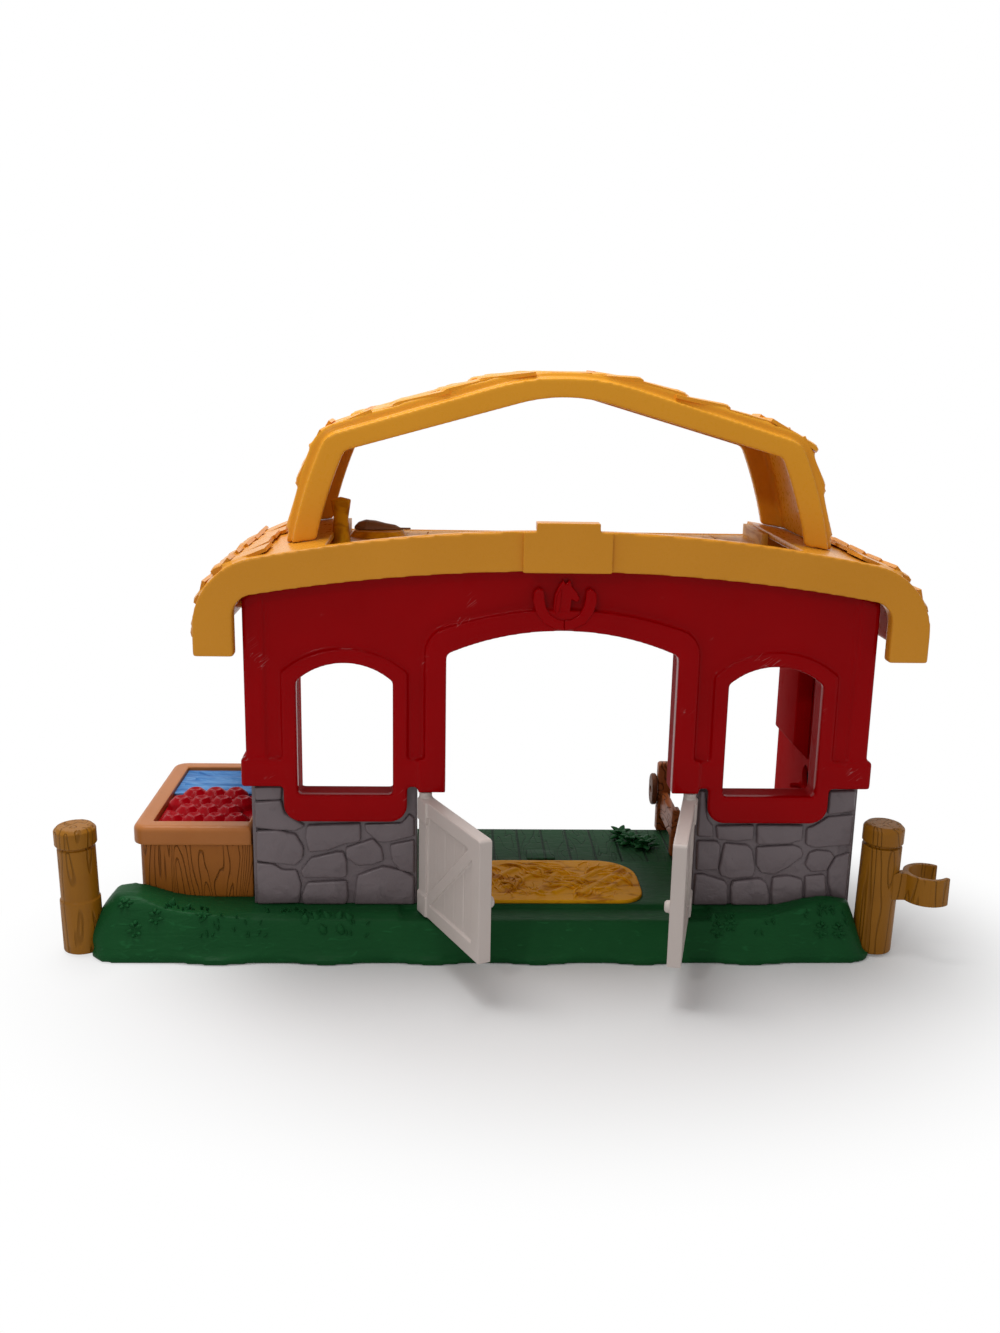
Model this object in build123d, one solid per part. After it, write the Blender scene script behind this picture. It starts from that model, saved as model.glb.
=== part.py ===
from build123d import *
import os
from math import atan2, cos, degrees, hypot, radians, sin, sqrt, tan

os.makedirs("parts", exist_ok=True)

# Toy barn with two opening doors, a water and apple trough, fence posts and a carrying arch.
# Millimetres. X runs to the right, Y runs to the back, Z runs up. The origin is on the ground
# in the middle of the doorway, in the plane of the front wall.

# ---- clearances ----
SEAT_GAP = 0.2          # between moulded pieces that are snapped or screwed together
RUN_GAP = 0.2           # radial play of a door pin in its socket
SWING_GAP = 0.7         # below and above a swinging door
KNUCKLE_GAP = 0.3       # above and below a door's knuckles

# walls of the mouldings
BASE_SKIN = 2.5
WALL_SKIN = 3.0
ROOF_SKIN = 3.0
RIB = 2.5
RIB_PITCH = 38.0        # grid of ribs under the base, through the origin

# the barn's body: its half width, its depth behind the front wall's plane, and its linings
HALF_WIDTH = 140.0
BARN_BACK = 106.0
RETURN_DEPTH = 12.0     # depth of the window and doorway linings, and width of the side walls
LINING = 2.5
SIDE_LINING = 2.8       # of the side walls' red lining, which runs down inside the stone
STONE_FACE_Y = 2.0
STONE_RELIEF = 1.2
STONE_INSET = 1.0       # the stone stands back from the outer wall face
MORTAR = 1.8
STONE_SHIFT = 3.2       # how unevenly the joints stand, and how far they lean
STONE_LEAN = 1.8
STONE_CHIP = 2.8        # off one corner of each stone
STONE_TAPER = 25.0      # of the stones' sides, in degrees
STONE_COURSES = 3
STONE_LENGTH = 21.0     # of one stone, about

# ground
LEDGE_Z = 18.0          # the step on which the doors swing
FLOOR_Z = 20.0
FLOOR_STEP_Y = 3.2
FLOOR_MARGIN = 1.5      # from the top edge of the bank to the raised floor
FLOOR_CORNER = 6.0
LIP_OUT = 2.5           # how far the ground lip stands out from the bank
LIP_HEIGHT = 3.0
BANK_RUN = 5.8          # how far the front bank leans back
END_RUN = 5.0           # how far the ends and the back lean in
BASE_FRONT = 19.0
LIP_WAVE = 1.4          # of the lip's wavy front edge
LIP_WAVE_LENGTH = 24.0  # from a crest of the wave to the next hollow
SHOULDER_RUN = 4.0      # of the rounded shoulder between the bank and the floor
HILL_BURIED = 2.0       # how far the hills are rooted below the ledge
BASE_CORNER = 12.0
BASE_BEHIND = 4.0       # of ground behind the barn
DOOR_LEDGE = 12.0       # of ledge beyond each hinge
LEFT_HILL_RISE = 7.5    # of the hills above the floor
RIGHT_HILL_RISE = 5.4
LEFT_HILL_SLOPE = 10.0  # how far the hills' front slopes run back
RIGHT_HILL_SLOPE = 8.0
HILL_ROUND = 0.5        # of the slope's crest above the ridge
BASE_SKIN_LAP = 0.5     # how far ribs and bosses run into the skin above them
PLANK_WIDTH = 13.0
PLANK_GROOVE = 0.8
PLANK_MARGIN = 4.0      # from the hay and the floor's back edge to the planks
TUFTS = ((51.0, 78.0, 5.0), (56.0, 83.0, 4.0))  # places and radii of the clumps of grass

# doorway
DOORWAY_HALF = 51.2
DOORWAY_SPRING = 140.4
DOORWAY_RISE = 10.9
SURROUND_WIDTH = 9.4
SURROUND_PROUD = 3.5
FOOT_WIDTH = 12.2       # of the surround's thick feet, over the hinges
FOOT_HEIGHT = 15.3

# doors
HINGE_SET = 8.8         # of a hinge outside the doorway's edge
HINGE_Y = -0.5
DOOR_THICK = 6.0
DOOR_HEIGHT = 55.0
DOOR_MEET_GAP = 0.8     # between the two closed doors
DOOR_RAIL = 7.0
PANEL_SINK = 1.1
BRACE_WIDTH = 5.0
DOOR_CORNER = 1.5
KNOB_R = 2.6
KNOB_OUT = 2.4          # of the knob's face from the door's inner face
KNOB_CHAMFER = 0.8
KNOB_RISE = 26.0        # of the knob above the door's foot
DOOR_PLANKS = 5
PIN_R = 1.6
PIN_LENGTH = 4.0
SOCKET_DEPTH = 10.0     # of the bars under the ledge that hold the pins
SOCKET_R = 3.8
KNUCKLE_R = 2.9
KNUCKLE_HEIGHT = 2.5    # of the knuckle above the door, under the surround's foot
LUG_WIDTH = 8.0
LUG_HEIGHT = 10.0
LUG_PROUD = 0.8
LEFT_OPEN = 64.2        # how far each door stands open at rest, in degrees
RIGHT_OPEN = 75.8

# front wall, upwards from the stone
STONE_STEP = 1.9        # of the stone's top above the foot of the surround
STONE_GAP = 0.6         # beside the surround's foot
WINDOW_INNER_GAP = 11.4  # between a window and the surround's foot
WINDOW_OUTER_GAP = 13.8  # between a window and the corner board
SILL_DROP = 3.8         # of the window sill below the stone's top
WINDOW_HEIGHT = 52.5    # up to where its arch springs
WINDOW_RISE = 8.3
FRAME_WIDTH = 6.5
FRAME_PROUD = 2.0
APRON_DEPTH = 12.8      # of the frame's apron below the sill
APRON_CORNER = 8.0
BELT_HEIGHT = 13.2
BELT_PROUD = 2.3
PILASTER_WIDTH = 9.0
PILASTER_PROUD = 1.4

# lower roof
BOARD_OVER_DOOR = 17.9  # height of wall between the surround and the roof's front band
FASCIA_DEPTH = 17.3
FASCIA_RADIUS = 783.0
FASCIA_OVERHANG = 2.5   # of the band's inner side beyond the wall
FASCIA_CORNER = 9.0
FASCIA_FRONT = -10.0
FASCIA_THICK = 3.0
SOFFIT_BACK = -2.6
EAVE_OVERHANG = 20.0
EAVE_RADIUS = 696.0
EAVE_CORNER = 32.0
EAVE_DEPTH = 56.1       # of the roof's lower edge below its crown
ROOF_BACK_INSET = 1.0
WALL_UP = 8.0           # of the side walls above the foot of the roof's round shoulders
LOFT_INSET = 37.0       # of the loft's opening inside the wall
LOFT_FRONT = -4.0
LOFT_BACK_EDGE = 7.0
LOFT_DROP = 14.4        # of the loft's floor below the roof's crown
LOFT_CURB = 6.0         # height of the kerbs beside the hay
CURB_FRONT = 58.0
LOFT_PLANKS = 10

# arch
ARCH_FRONT = 16.0
ARCH_BACK_EDGE = 4.0
ARCH_LIP = 5.0          # depth of the plain lip in front of the thatch
FLANGE = 3.0
LEG_SWELL = 2.4         # how far a leg bows out between its ends
LEG_SUNK = 20.0         # how far the legs are drawn on below the roof's crown
COURSE_STEP = 1.7       # how far the tip of a bundle stands out
COURSE_PITCH = 21.0
COURSE_ROOT = 1.5       # how deep the bundles are rooted
COURSE_START = 10.0     # of the first bundles beside the peak
LANES = 4               # rows of bundles from front to back
LANE_GAP = 0.8
STRAW_INSET = 2.0       # of the bundles from the thatch's front and back
EAVE_STRAW_INSET = 5.0
EAVE_ROWS = 3
EAVE_FIRST_ROW = 74.0   # angle at which the bundles on the roof's shoulders start, and from row to row
EAVE_ROW_PITCH = 26.0
EAVE_ROW_DROP = 20.0    # angle over which one of them runs

# trough
TROUGH_WIDTH = 55.0
TROUGH_FRONT = 8.0
TROUGH_BACK_INSET = 1.0
TROUGH_WALL = 2.5
TROUGH_HEIGHT = 35.5
RIM_HEIGHT = 9.0
RIM_WIDTH = 8.5
RIM_OVERHANG = 2.6
RIM_CORNER = 7.0
RIM_ROUND = 2.5
TROUGH_PLANKS = 5
RIPPLES = 4
RIPPLE_R = 2.6
RIPPLE_HIGH = 0.8
RIPPLE_LENGTH = 30.0
APPLE_ROWS = 4
APPLE_COLUMNS = 4
APPLE_HIGH = 0.6        # of the front row above the rim, and of each row above the one in front
APPLE_ROW_RISE = 0.9
FILL_LEDGE = 2.0        # of the rim along the barn's wall
WATER_LENGTH = 36.5
FILL_DROP = 2.0         # water level below the rim
APPLE_R = 7.2

# fence posts and clip
END_STRIP = 16.5        # of ground beyond the trough
SIDE_STRIP = 7.0        # of ground beyond the right wall
POST_OUT = 4.5          # of the left post's middle beyond the base
POST_IN = 2.5           # of the right post's middle beyond the base
POST_Y = -1.5
POST_R = 9.0
POST_NECK_R = 8.4
POST_LEAN = 1.1         # outwards, in degrees
RIGHT_POST_RISE = 2.5   # of the right post's cap above the left one's
CAP_HEIGHT = 8.5
CAP_OUT = 0.3           # of the cap beyond the log
CAP_CHAMFER = 1.6
CAP_GROOVE = 1.5
NECK_HEIGHT = 24.5
NECK_RISE = 5.5         # of the neck's foot above the floor
CLIP_R = 8.5
CLIP_STRAP = 2.6
CLIP_GAP = 1.4          # between the post's foot and the clip's ring
CLIP_SET = 5.5          # how far the ring's middle lies in front of the post's
CLIP_RISE = 2.5         # of the clip above the neck's foot
CLIP_HEIGHT = 13.0
CLIP_MOUTH = 52.0       # half angle of the clip's mouth, in degrees

# hay, cat and sheaf
HAY_HALF = 43.0
HAY_FRONT = 4.8
HAY_BACK = 54.0
HAY_THICK = 2.6
HAY_SINK = 1.4
HAY_BACK_CORNER = 20.0
HAY_FRONT_CORNER = 12.0
HAY_SWATHES = 7
SWATHE_PITCH = 12.5
SWATHE_R = 2.6
SWATHE_LENGTH = 34.0
SWATHE_TURN = 62.0      # of the swathes, in degrees
HAY_HEAP_INSET = 18.0   # of the heap's middle inside the loft's left edge
HAY_HEAP_Y = 78.0
HAY_HEAP_HEIGHT = 3.0
HEAP_HALF_LENGTH = 14.0
HEAP_HALF_WIDTH = 13.0
HAY_HEAP_SLOPE = 40.0   # of the heap's sides, in degrees from upright
SHEAF_INSET = 5.4
SHEAF_Y = 40.0
SHEAF_R = 4.7
SHEAF_HEIGHT = 18.0

# stall and chute
STALL_X = 63.0
STALL_HEIGHT = 38.0
STALL_POST = 7.0
STALL_RAIL_FRONT = 62.0
STALL_RAIL_LOW = 9.0    # of the rail above the floor
STALL_RAIL_HIGH = 22.0
STALL_STILE_HIGH = 25.0
STALL_STILE_WIDTH = 6.0
STALL_RAIL_THICK = 4.0
STALL_CLEAR = 20.0      # without grooves on both sides of the stall fence
ROPE_RISE = 25.0        # of the top coil's middle above the floor
ROPE_R = 6.4
ROPE_THICK = 2.8
ROPE_DROP = 2.2         # from one turn of the rope to the next
CHUTE_DEPTH = 8.0
CHUTE_WIDTH = 36.0
CHUTE_Y = 48.0
CHUTE_DROP = 16.5       # of the chute's top below the loft's floor
CHUTE_HEIGHT = 88.3
SLOT_Y = 51.0
SLOT_WIDTH = 10.0
SLOT_HEIGHT = 12.5
SLOT_DROP = 10.1        # of the slot's middle below the chute's foot
SLOT_DEPTH = 4.0        # of the slot into the stone wall
PEG_Y = 58.5
PEG_R = 1.4
PEG_LENGTH = 5.5
PEG_DROP = 16.5         # of the peg below the chute's foot

# plaque and horseshoe
PLAQUE_HALF = 19.0
PLAQUE_STEP_HALF = 13.5
PLAQUE_RISE = 3.6       # of the plaque above the roof's crown
PLAQUE_PROUD = 2.0
SHOE_R = 11.2
SHOE_BAR = 4.2
SHOE_RISE = 5.8         # of the shoe's middle above the surround
SHOE_PROUD = 4.6
SHOE_NAILS = (-150, -120, -60, -30)  # angles of the nail holes round the shoe, in degrees
NAIL_R = 0.7

# screws
SCREW_R = 1.5
SCREW_HEAD_R = 3.0
SCREW_LENGTH = 20.0
SCREW_SEAT = 4.0        # of a head's top above the ground
SCREW_HEAD_HEIGHT = 2.5
SCREW_INSET = 20.0      # of the base's screws from the ends of the stone walls
ROOF_SCREW_FRONT = 30.0
ROOF_SCREW_BACK = 24.0  # of the back ones in front of the barn's back
BOSS_R = 4.0
BOSS_HOLE = 8.0         # depth of the screw holes in the roof's bosses
POCKET = 12.0           # height of a screw pocket in a side wall
CUT = 40.0              # how far cutting tools run past what they cut
FAR = 360.0             # beyond every side of the barn

# places that follow from the sizes above
ROOF_BACK = BARN_BACK - ROOF_BACK_INSET
LOFT_BACK = ROOF_BACK - LOFT_BACK_EDGE
ARCH_BACK = ROOF_BACK - ARCH_BACK_EDGE
TROUGH_BACK = BARN_BACK - TROUGH_BACK_INSET
BASE_BACK = BARN_BACK + BASE_BEHIND
TROUGH_LEFT = HALF_WIDTH + TROUGH_WIDTH
BASE_LEFT = TROUGH_LEFT + END_STRIP
BASE_RIGHT = HALF_WIDTH + SIDE_STRIP
POST_LEFT_X = BASE_LEFT + POST_OUT
POST_RIGHT_X = BASE_RIGHT + POST_IN
FOOT_OUTER = DOORWAY_HALF + FOOT_WIDTH
HINGE_X = DOORWAY_HALF + HINGE_SET
LEDGE_HALF = HINGE_X + DOOR_LEDGE
STONE_INNER = FOOT_OUTER + STONE_GAP
WINDOW_INNER = FOOT_OUTER + WINDOW_INNER_GAP
WINDOW_OUTER = HALF_WIDTH - PILASTER_WIDTH - WINDOW_OUTER_GAP
EAVE_HALF = HALF_WIDTH + EAVE_OVERHANG
FASCIA_HALF = HALF_WIDTH + FASCIA_OVERHANG
LOFT_HALF = HALF_WIDTH - LOFT_INSET
LEFT_HILL_TOP = FLOOR_Z + LEFT_HILL_RISE
RIGHT_HILL_TOP = FLOOR_Z + RIGHT_HILL_RISE
DOOR_FOOT = LEDGE_Z + SWING_GAP + SEAT_GAP
DOOR_TOP = DOOR_FOOT + DOOR_HEIGHT
FOOT_BOTTOM = DOOR_TOP + KNUCKLE_HEIGHT + KNUCKLE_GAP
FOOT_TOP = FOOT_BOTTOM + FOOT_HEIGHT
STONE_TOP = FOOT_BOTTOM + STONE_STEP
BELT_TOP = STONE_TOP + BELT_HEIGHT
WINDOW_SILL = STONE_TOP - SILL_DROP
WINDOW_SPRING = WINDOW_SILL + WINDOW_HEIGHT
WINDOW_APEX = WINDOW_SPRING + WINDOW_RISE
APRON_BOTTOM = WINDOW_SILL - APRON_DEPTH
DOORWAY_APEX = DOORWAY_SPRING + DOORWAY_RISE
FASCIA_CROWN = DOORWAY_APEX + SURROUND_WIDTH + BOARD_OVER_DOOR
EAVE_CROWN = FASCIA_CROWN + FASCIA_DEPTH
EAVE_BOTTOM = EAVE_CROWN - EAVE_DEPTH
WALL_TOP = EAVE_CROWN - EAVE_CORNER + WALL_UP
LOFT_FLOOR = EAVE_CROWN - LOFT_DROP
RIM_TOP = FLOOR_Z + TROUGH_HEIGHT
WATER_SPLIT = TROUGH_BACK - RIM_WIDTH - WATER_LENGTH
NECK_BOTTOM = FLOOR_Z + NECK_RISE
NECK_TOP = NECK_BOTTOM + NECK_HEIGHT
CLIP_BOTTOM = NECK_BOTTOM + CLIP_RISE
STALL_TOP = FLOOR_Z + STALL_HEIGHT
CHUTE_TOP = LOFT_FLOOR - CHUTE_DROP
CHUTE_FOOT = CHUTE_TOP - CHUTE_HEIGHT
CHUTE_WALL = HALF_WIDTH - RETURN_DEPTH
LINING_FACE = CHUTE_WALL + SIDE_LINING + SEAT_GAP
SLOT_Z = CHUTE_FOOT - SLOT_DROP
PEG_Z = CHUTE_FOOT - PEG_DROP
HAY_HEAP_X = LOFT_HALF - HAY_HEAP_INSET
SHEAF_X = LOFT_HALF - SHEAF_INSET
PLAQUE_TOP = EAVE_CROWN + PLAQUE_RISE
SHOE_Z = DOORWAY_APEX + SURROUND_WIDTH + SHOE_RISE

# the arch's outlines: height of the peak, its radius, the shoulders' half width, height and radius, and
# how far the legs lean out for each unit of height
GABLE_INNER = (EAVE_CROWN + 57.7, 75.0, LOFT_HALF - 6.5, EAVE_CROWN + 30.5, 4.0, 0.27)
GABLE_LIP = (EAVE_CROWN + 68.0, 110.0, LOFT_HALF + 1.5, EAVE_CROWN + 37.0, 11.0, 0.30)
GABLE_THATCH = (EAVE_CROWN + 72.0, 150.0, LOFT_HALF + 5.5, EAVE_CROWN + 40.0, 18.0, 0.26)


def upright(face, y0, y1):
    """Extrudes a face drawn in X and Z from y0 to y1."""
    return extrude(Plane.XZ.offset(-y1) * face, y1 - y0)


def level(face, z0, z1):
    """Extrudes a face drawn in X and Y from z0 to z1."""
    return extrude(Plane.XY.offset(z0) * face, z1 - z0)


def block(x0, x1, y0, y1, z0, z1):
    """A box between its limits."""
    middle = Pos((x0 + x1) / 2, (y0 + y1) / 2, (z0 + z1) / 2)
    return middle * Box(x1 - x0, y1 - y0, z1 - z0)


def rectangle(x0, x1, y0, y1):
    """A rectangle between its limits."""
    return Pos((x0 + x1) / 2, (y0 + y1) / 2) * Rectangle(x1 - x0, y1 - y0)


def rod(x, y, z0, z1, r):
    """An upright round bar."""
    return Pos(x, y, (z0 + z1) / 2) * Cylinder(r, z1 - z0)


def rounded_rectangle(x0, x1, y0, y1, r):
    """A rectangle between its limits with round corners."""
    return Pos((x0 + x1) / 2, (y0 + y1) / 2) * RectangleRounded(x1 - x0, y1 - y0, r)


def mirrored(part):
    """The same piece on the other side of the doorway."""
    return mirror(part, about=Plane.YZ)


def waver(n, size):
    """A repeatable uneven offset between -size and size for the n-th piece of a hand-laid pattern."""
    return size * sin(12.9898 * n + 4.1 * n * n)


# ---------------------------------------------------------------- roof outlines

def eave_region(shrink, bottom):
    """The area under the lower roof's outer curve, shrunk by a skin and closed at bottom."""
    half = EAVE_HALF - shrink
    radius = EAVE_RADIUS - shrink
    crown = EAVE_CROWN - shrink
    return arch_region(half, crown, radius, EAVE_CORNER - shrink, bottom)


def fascia_region(grow, bottom):
    """The area under the lower edge of the front band, grown by a soffit."""
    half = FASCIA_HALF + grow
    return arch_region(half, FASCIA_CROWN + grow, FASCIA_RADIUS + grow, FASCIA_CORNER + grow, bottom)


def arch_region(half, crown, radius, corner, bottom):
    """A shallow arch with round shoulders, straight sides and a straight bottom."""
    edge = crown - radius + sqrt(radius**2 - half**2)
    top = ThreePointArc((-half, edge), (0, crown), (half, edge))
    sides = Polyline((half, edge), (half, bottom), (-half, bottom), (-half, edge))
    face = make_face(Curve() + [top, sides])
    return fillet(face.vertices().sort_by(Axis.Y)[-2:], corner)


def gable_region(gable, bottom):
    """The area under a gabled arch with a round peak, round shoulders and leaning, slightly bowed legs."""
    peak, peak_r, shoulder_x, shoulder_z, shoulder_r, lean = gable
    foot_x = shoulder_x + lean * (shoulder_z - bottom)
    knee = ((shoulder_x + foot_x) / 2 + LEG_SWELL, (shoulder_z + bottom) / 2)
    slopes = Polyline((-shoulder_x, shoulder_z), (0, peak), (shoulder_x, shoulder_z))
    right = ThreePointArc((shoulder_x, shoulder_z), knee, (foot_x, bottom))
    left = ThreePointArc((-foot_x, bottom), (-knee[0], knee[1]), (-shoulder_x, shoulder_z))
    face = make_face(Curve() + [slopes, right, Line((foot_x, bottom), (-foot_x, bottom)), left])
    corners = face.vertices().sort_by(Axis.Y)
    face = fillet(corners[-1], peak_r)
    shoulders = [v for v in face.vertices() if abs(v.Y - shoulder_z) < 0.01]
    return fillet(shoulders, shoulder_r)


# ---------------------------------------------------------------- base

def bank_outline(front, end, back, corner):
    """The base's outline, pulled in from the lip at the front, the ends and the back."""
    return rounded_rectangle(
        -BASE_LEFT + end, BASE_RIGHT - end, -BASE_FRONT + front, BASE_BACK - back, corner
    )


def bank_section(z, shrink=0, inset=0):
    """The leaning bank's outline at a height, shrunk by a skin or pulled in."""
    share = (z - LIP_HEIGHT) / (LEDGE_Z - LIP_HEIGHT)
    front = LIP_OUT + BANK_RUN * share + shrink + inset
    end = LIP_OUT + END_RUN * share + shrink + inset
    return Plane.XY.offset(z) * bank_outline(front, end, end, BASE_CORNER - shrink)


def bank_solid(shrink, z_low, z_high):
    """The bank below the ledge between two heights, as leaning as from the lip to the ledge."""
    low = Plane.XY.offset(z_low) * bank_outline(
        LIP_OUT + shrink, LIP_OUT + shrink, LIP_OUT + shrink, BASE_CORNER - shrink)
    high = Plane.XY.offset(z_high) * bank_outline(
        LIP_OUT + BANK_RUN + shrink, LIP_OUT + END_RUN + shrink, LIP_OUT + END_RUN + shrink, BASE_CORNER - shrink)
    return loft([low, high], ruled=True)


def ground_lip():
    """The flat lip round the foot of the bank, with a wavy front edge."""
    pulled = LIP_WAVE + 1.0
    outline = bank_outline(pulled, 0, 0, BASE_CORNER)
    left = -BASE_LEFT + BASE_CORNER
    right = BASE_RIGHT - BASE_CORNER
    steps = round((right - left) / LIP_WAVE_LENGTH)
    points = []
    for n in range(steps + 1):
        swing = LIP_WAVE * (-1) ** n if 0 < n < steps else -LIP_WAVE
        points.append((left + (right - left) * n / steps, -BASE_FRONT + LIP_WAVE - swing))
    rest = Polyline(points[-1], (right, 0), (left, 0), points[0])
    return level(outline, 0, LIP_HEIGHT) + level(make_face(Curve() + [Spline(*points), rest]), 0, LIP_HEIGHT)


def hill(ridge_points, top, slope_front, y_back):
    """A smooth hill on the bank: a ridge in X and Z, and a slope that goes on from the leaning bank."""
    edge_y = -BASE_FRONT + LIP_OUT + BANK_RUN
    low = LEDGE_Z - HILL_BURIED
    left, right = ridge_points[0][0], ridge_points[-1][0]
    ends = Polyline(ridge_points[-1], (right, low), (left, low), ridge_points[0])
    across = upright(make_face(Curve() + [Spline(*ridge_points), ends]), edge_y - 2, y_back)
    rise = Spline((edge_y, LEDGE_Z), (edge_y + slope_front * 0.35, top - 3), (edge_y + slope_front, top))
    rest = Polyline(
        (edge_y + slope_front, top), (y_back, top), (y_back, low), (edge_y, low), (edge_y, LEDGE_Z)
    )
    along = extrude(Plane.YZ.offset(left) * make_face(Curve() + [rise, rest]), right - left)
    bank = loft([bank_section(low), bank_section(top)], ruled=True)
    return across & along & bank


def grass_tuft(x, y, r):
    """A low clump of moulded grass on the floor."""
    cone = Cone(r, r * 0.45, r * 0.9, align=(Align.CENTER, Align.CENTER, Align.MIN))
    return Pos(x, y, FLOOR_Z - SEAT_GAP) * cone


def base_shell():
    """The green ground: a hollow tray with a ribbed underside, a door ledge, a plank floor and hills."""
    body = ground_lip() + bank_solid(0, LIP_HEIGHT, LEDGE_Z)
    left = -BASE_LEFT + LIP_OUT + END_RUN + FLOOR_MARGIN
    right = BASE_RIGHT - LIP_OUT - END_RUN - FLOOR_MARGIN
    back = BASE_BACK - LIP_OUT - END_RUN - FLOOR_MARGIN
    shoulder = loft([bank_section(LEDGE_Z), bank_section(FLOOR_Z, inset=SHOULDER_RUN)], ruled=True)
    floor = level(rounded_rectangle(left, right, FLOOR_STEP_Y, back, FLOOR_CORNER), LEDGE_Z - 1, FLOOR_Z)
    for x0, x1 in ((-BASE_LEFT, -LEDGE_HALF), (LEDGE_HALF, BASE_RIGHT)):
        floor += shoulder & block(x0, x1, -BASE_FRONT, FLOOR_STEP_Y + FLOOR_CORNER, LEDGE_Z, FLOOR_Z)
    body += floor
    stone_front = STONE_FACE_Y - SEAT_GAP
    trough_front = TROUGH_FRONT + RIM_OVERHANG - SEAT_GAP
    body += hill(
        [(-BASE_LEFT + 4, LEDGE_Z - 1), (-BASE_LEFT + 9, LEFT_HILL_TOP - 2), (-BASE_LEFT + 16, LEFT_HILL_TOP),
         (-TROUGH_LEFT + 18, FLOOR_Z + 3), (-TROUGH_LEFT + 36, FLOOR_Z + 0.5), (-HALF_WIDTH, FLOOR_Z - 1)],
        LEFT_HILL_TOP + HILL_ROUND, LEFT_HILL_SLOPE, trough_front,
    )
    body += hill(
        [(LEDGE_HALF + 16, FLOOR_Z - 1), (LEDGE_HALF + 34, FLOOR_Z + 1.8), (LEDGE_HALF + 50, RIGHT_HILL_TOP),
         (BASE_RIGHT - 18, RIGHT_HILL_TOP), (BASE_RIGHT - 9, RIGHT_HILL_TOP - 2), (BASE_RIGHT - 4, LEDGE_Z - 1)],
        RIGHT_HILL_TOP + HILL_ROUND, RIGHT_HILL_SLOPE, stone_front,
    )
    body -= bank_solid(BASE_SKIN, -0.01, LEDGE_Z - BASE_SKIN) - level(
        rectangle(-FAR, FAR, -FAR, FAR), LEDGE_Z - BASE_SKIN, CUT)
    cavity = bank_solid(BASE_SKIN - BASE_SKIN_LAP, 0, LEDGE_Z - BASE_SKIN + BASE_SKIN_LAP)
    ribs = Part()
    for n in range(int(BASE_BACK / RIB_PITCH) + 1):
        y = n * RIB_PITCH
        ribs += block(-FAR, FAR, y - RIB / 2, y + RIB / 2, 0, LEDGE_Z)
    for n in range(-int(BASE_LEFT / RIB_PITCH), int(BASE_RIGHT / RIB_PITCH) + 1):
        x = n * RIB_PITCH
        ribs += block(x - RIB / 2, x + RIB / 2, -FAR, FAR, 0, LEDGE_Z)
    body += ribs & cavity
    body += bosses() & level(rectangle(-FAR, FAR, -FAR, FAR), 0, LEDGE_Z - BASE_SKIN + BASE_SKIN_LAP)
    for x in (-HINGE_X, HINGE_X):
        body += rod(x, HINGE_Y, LEDGE_Z - SOCKET_DEPTH, LEDGE_Z - BASE_SKIN + BASE_SKIN_LAP, SOCKET_R)
        body -= rod(x, HINGE_Y, LEDGE_Z - PIN_LENGTH - 1, LEDGE_Z + 1, PIN_R + RUN_GAP)
    for x, y in screw_places():
        body -= rod(x, y, -1, SCREW_SEAT + SEAT_GAP, SCREW_HEAD_R + SEAT_GAP)
        body -= rod(x, y, 0, FLOOR_Z + CUT, SCREW_R + SEAT_GAP)
    body -= level(hay_outline(SEAT_GAP), FLOOR_Z - HAY_SINK, FLOOR_Z + 1)
    body -= plank_grooves(right, back)
    body -= log(-POST_LEFT_X, -1, -1, FLOOR_Z + CUT, POST_R + SEAT_GAP)
    body -= log(POST_RIGHT_X, 1, -1, FLOOR_Z + CUT, POST_R + SEAT_GAP)
    for x, y, r in TUFTS:
        body += grass_tuft(x, y, r)
    return body


def plank_grooves(right, back):
    """Grooves between the floor's planks, behind the hay."""
    grooves = Part()
    count = int(2 * (HALF_WIDTH - RETURN_DEPTH) / PLANK_WIDTH)
    for n in range(count):
        x = -HALF_WIDTH + RETURN_DEPTH + (n + 1) * PLANK_WIDTH
        if abs(x) > right - PLANK_WIDTH or abs(abs(x) - STALL_X) < STALL_CLEAR:
            continue
        grooves += block(x, x + PLANK_GROOVE, HAY_BACK + PLANK_MARGIN, back - PLANK_MARGIN,
                         FLOOR_Z - PLANK_GROOVE, FLOOR_Z + 1)
    return grooves


def screw_places():
    """Where screws go up from below into the stone walls."""
    places = []
    for side in (-1, 1):
        places.append((side * (STONE_INNER + SCREW_INSET), STONE_FACE_Y + RETURN_DEPTH / 2 + 1))
        places.append((side * (HALF_WIDTH - RETURN_DEPTH / 2), BARN_BACK - SCREW_INSET))
    return places


def bosses():
    """The base's screw bosses, as full bars."""
    bars = Part()
    for x, y in screw_places():
        bars += rod(x, y, 1, LEDGE_Z, BOSS_R + 1)
    return bars


def base_screws():
    """Screws from under the base into the stone walls."""
    screws = Part()
    for x, y in screw_places():
        screws += rod(x, y, SCREW_SEAT - SCREW_HEAD_HEIGHT, SCREW_SEAT, SCREW_HEAD_R)
        screws += rod(x, y, SCREW_SEAT - 0.5, SCREW_SEAT + SCREW_LENGTH, SCREW_R)
    return screws


def hay_outline(grow):
    """The outline of the hay insert, round at its ends."""
    outline = rectangle(-HAY_HALF - grow, HAY_HALF + grow, HAY_FRONT - grow, HAY_BACK + grow)
    back = outline.vertices().sort_by(Axis.Y)[-2:]
    outline = fillet(back, HAY_BACK_CORNER + grow)
    front = outline.vertices().sort_by(Axis.Y)[:2]
    return fillet(front, HAY_FRONT_CORNER + grow)


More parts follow.
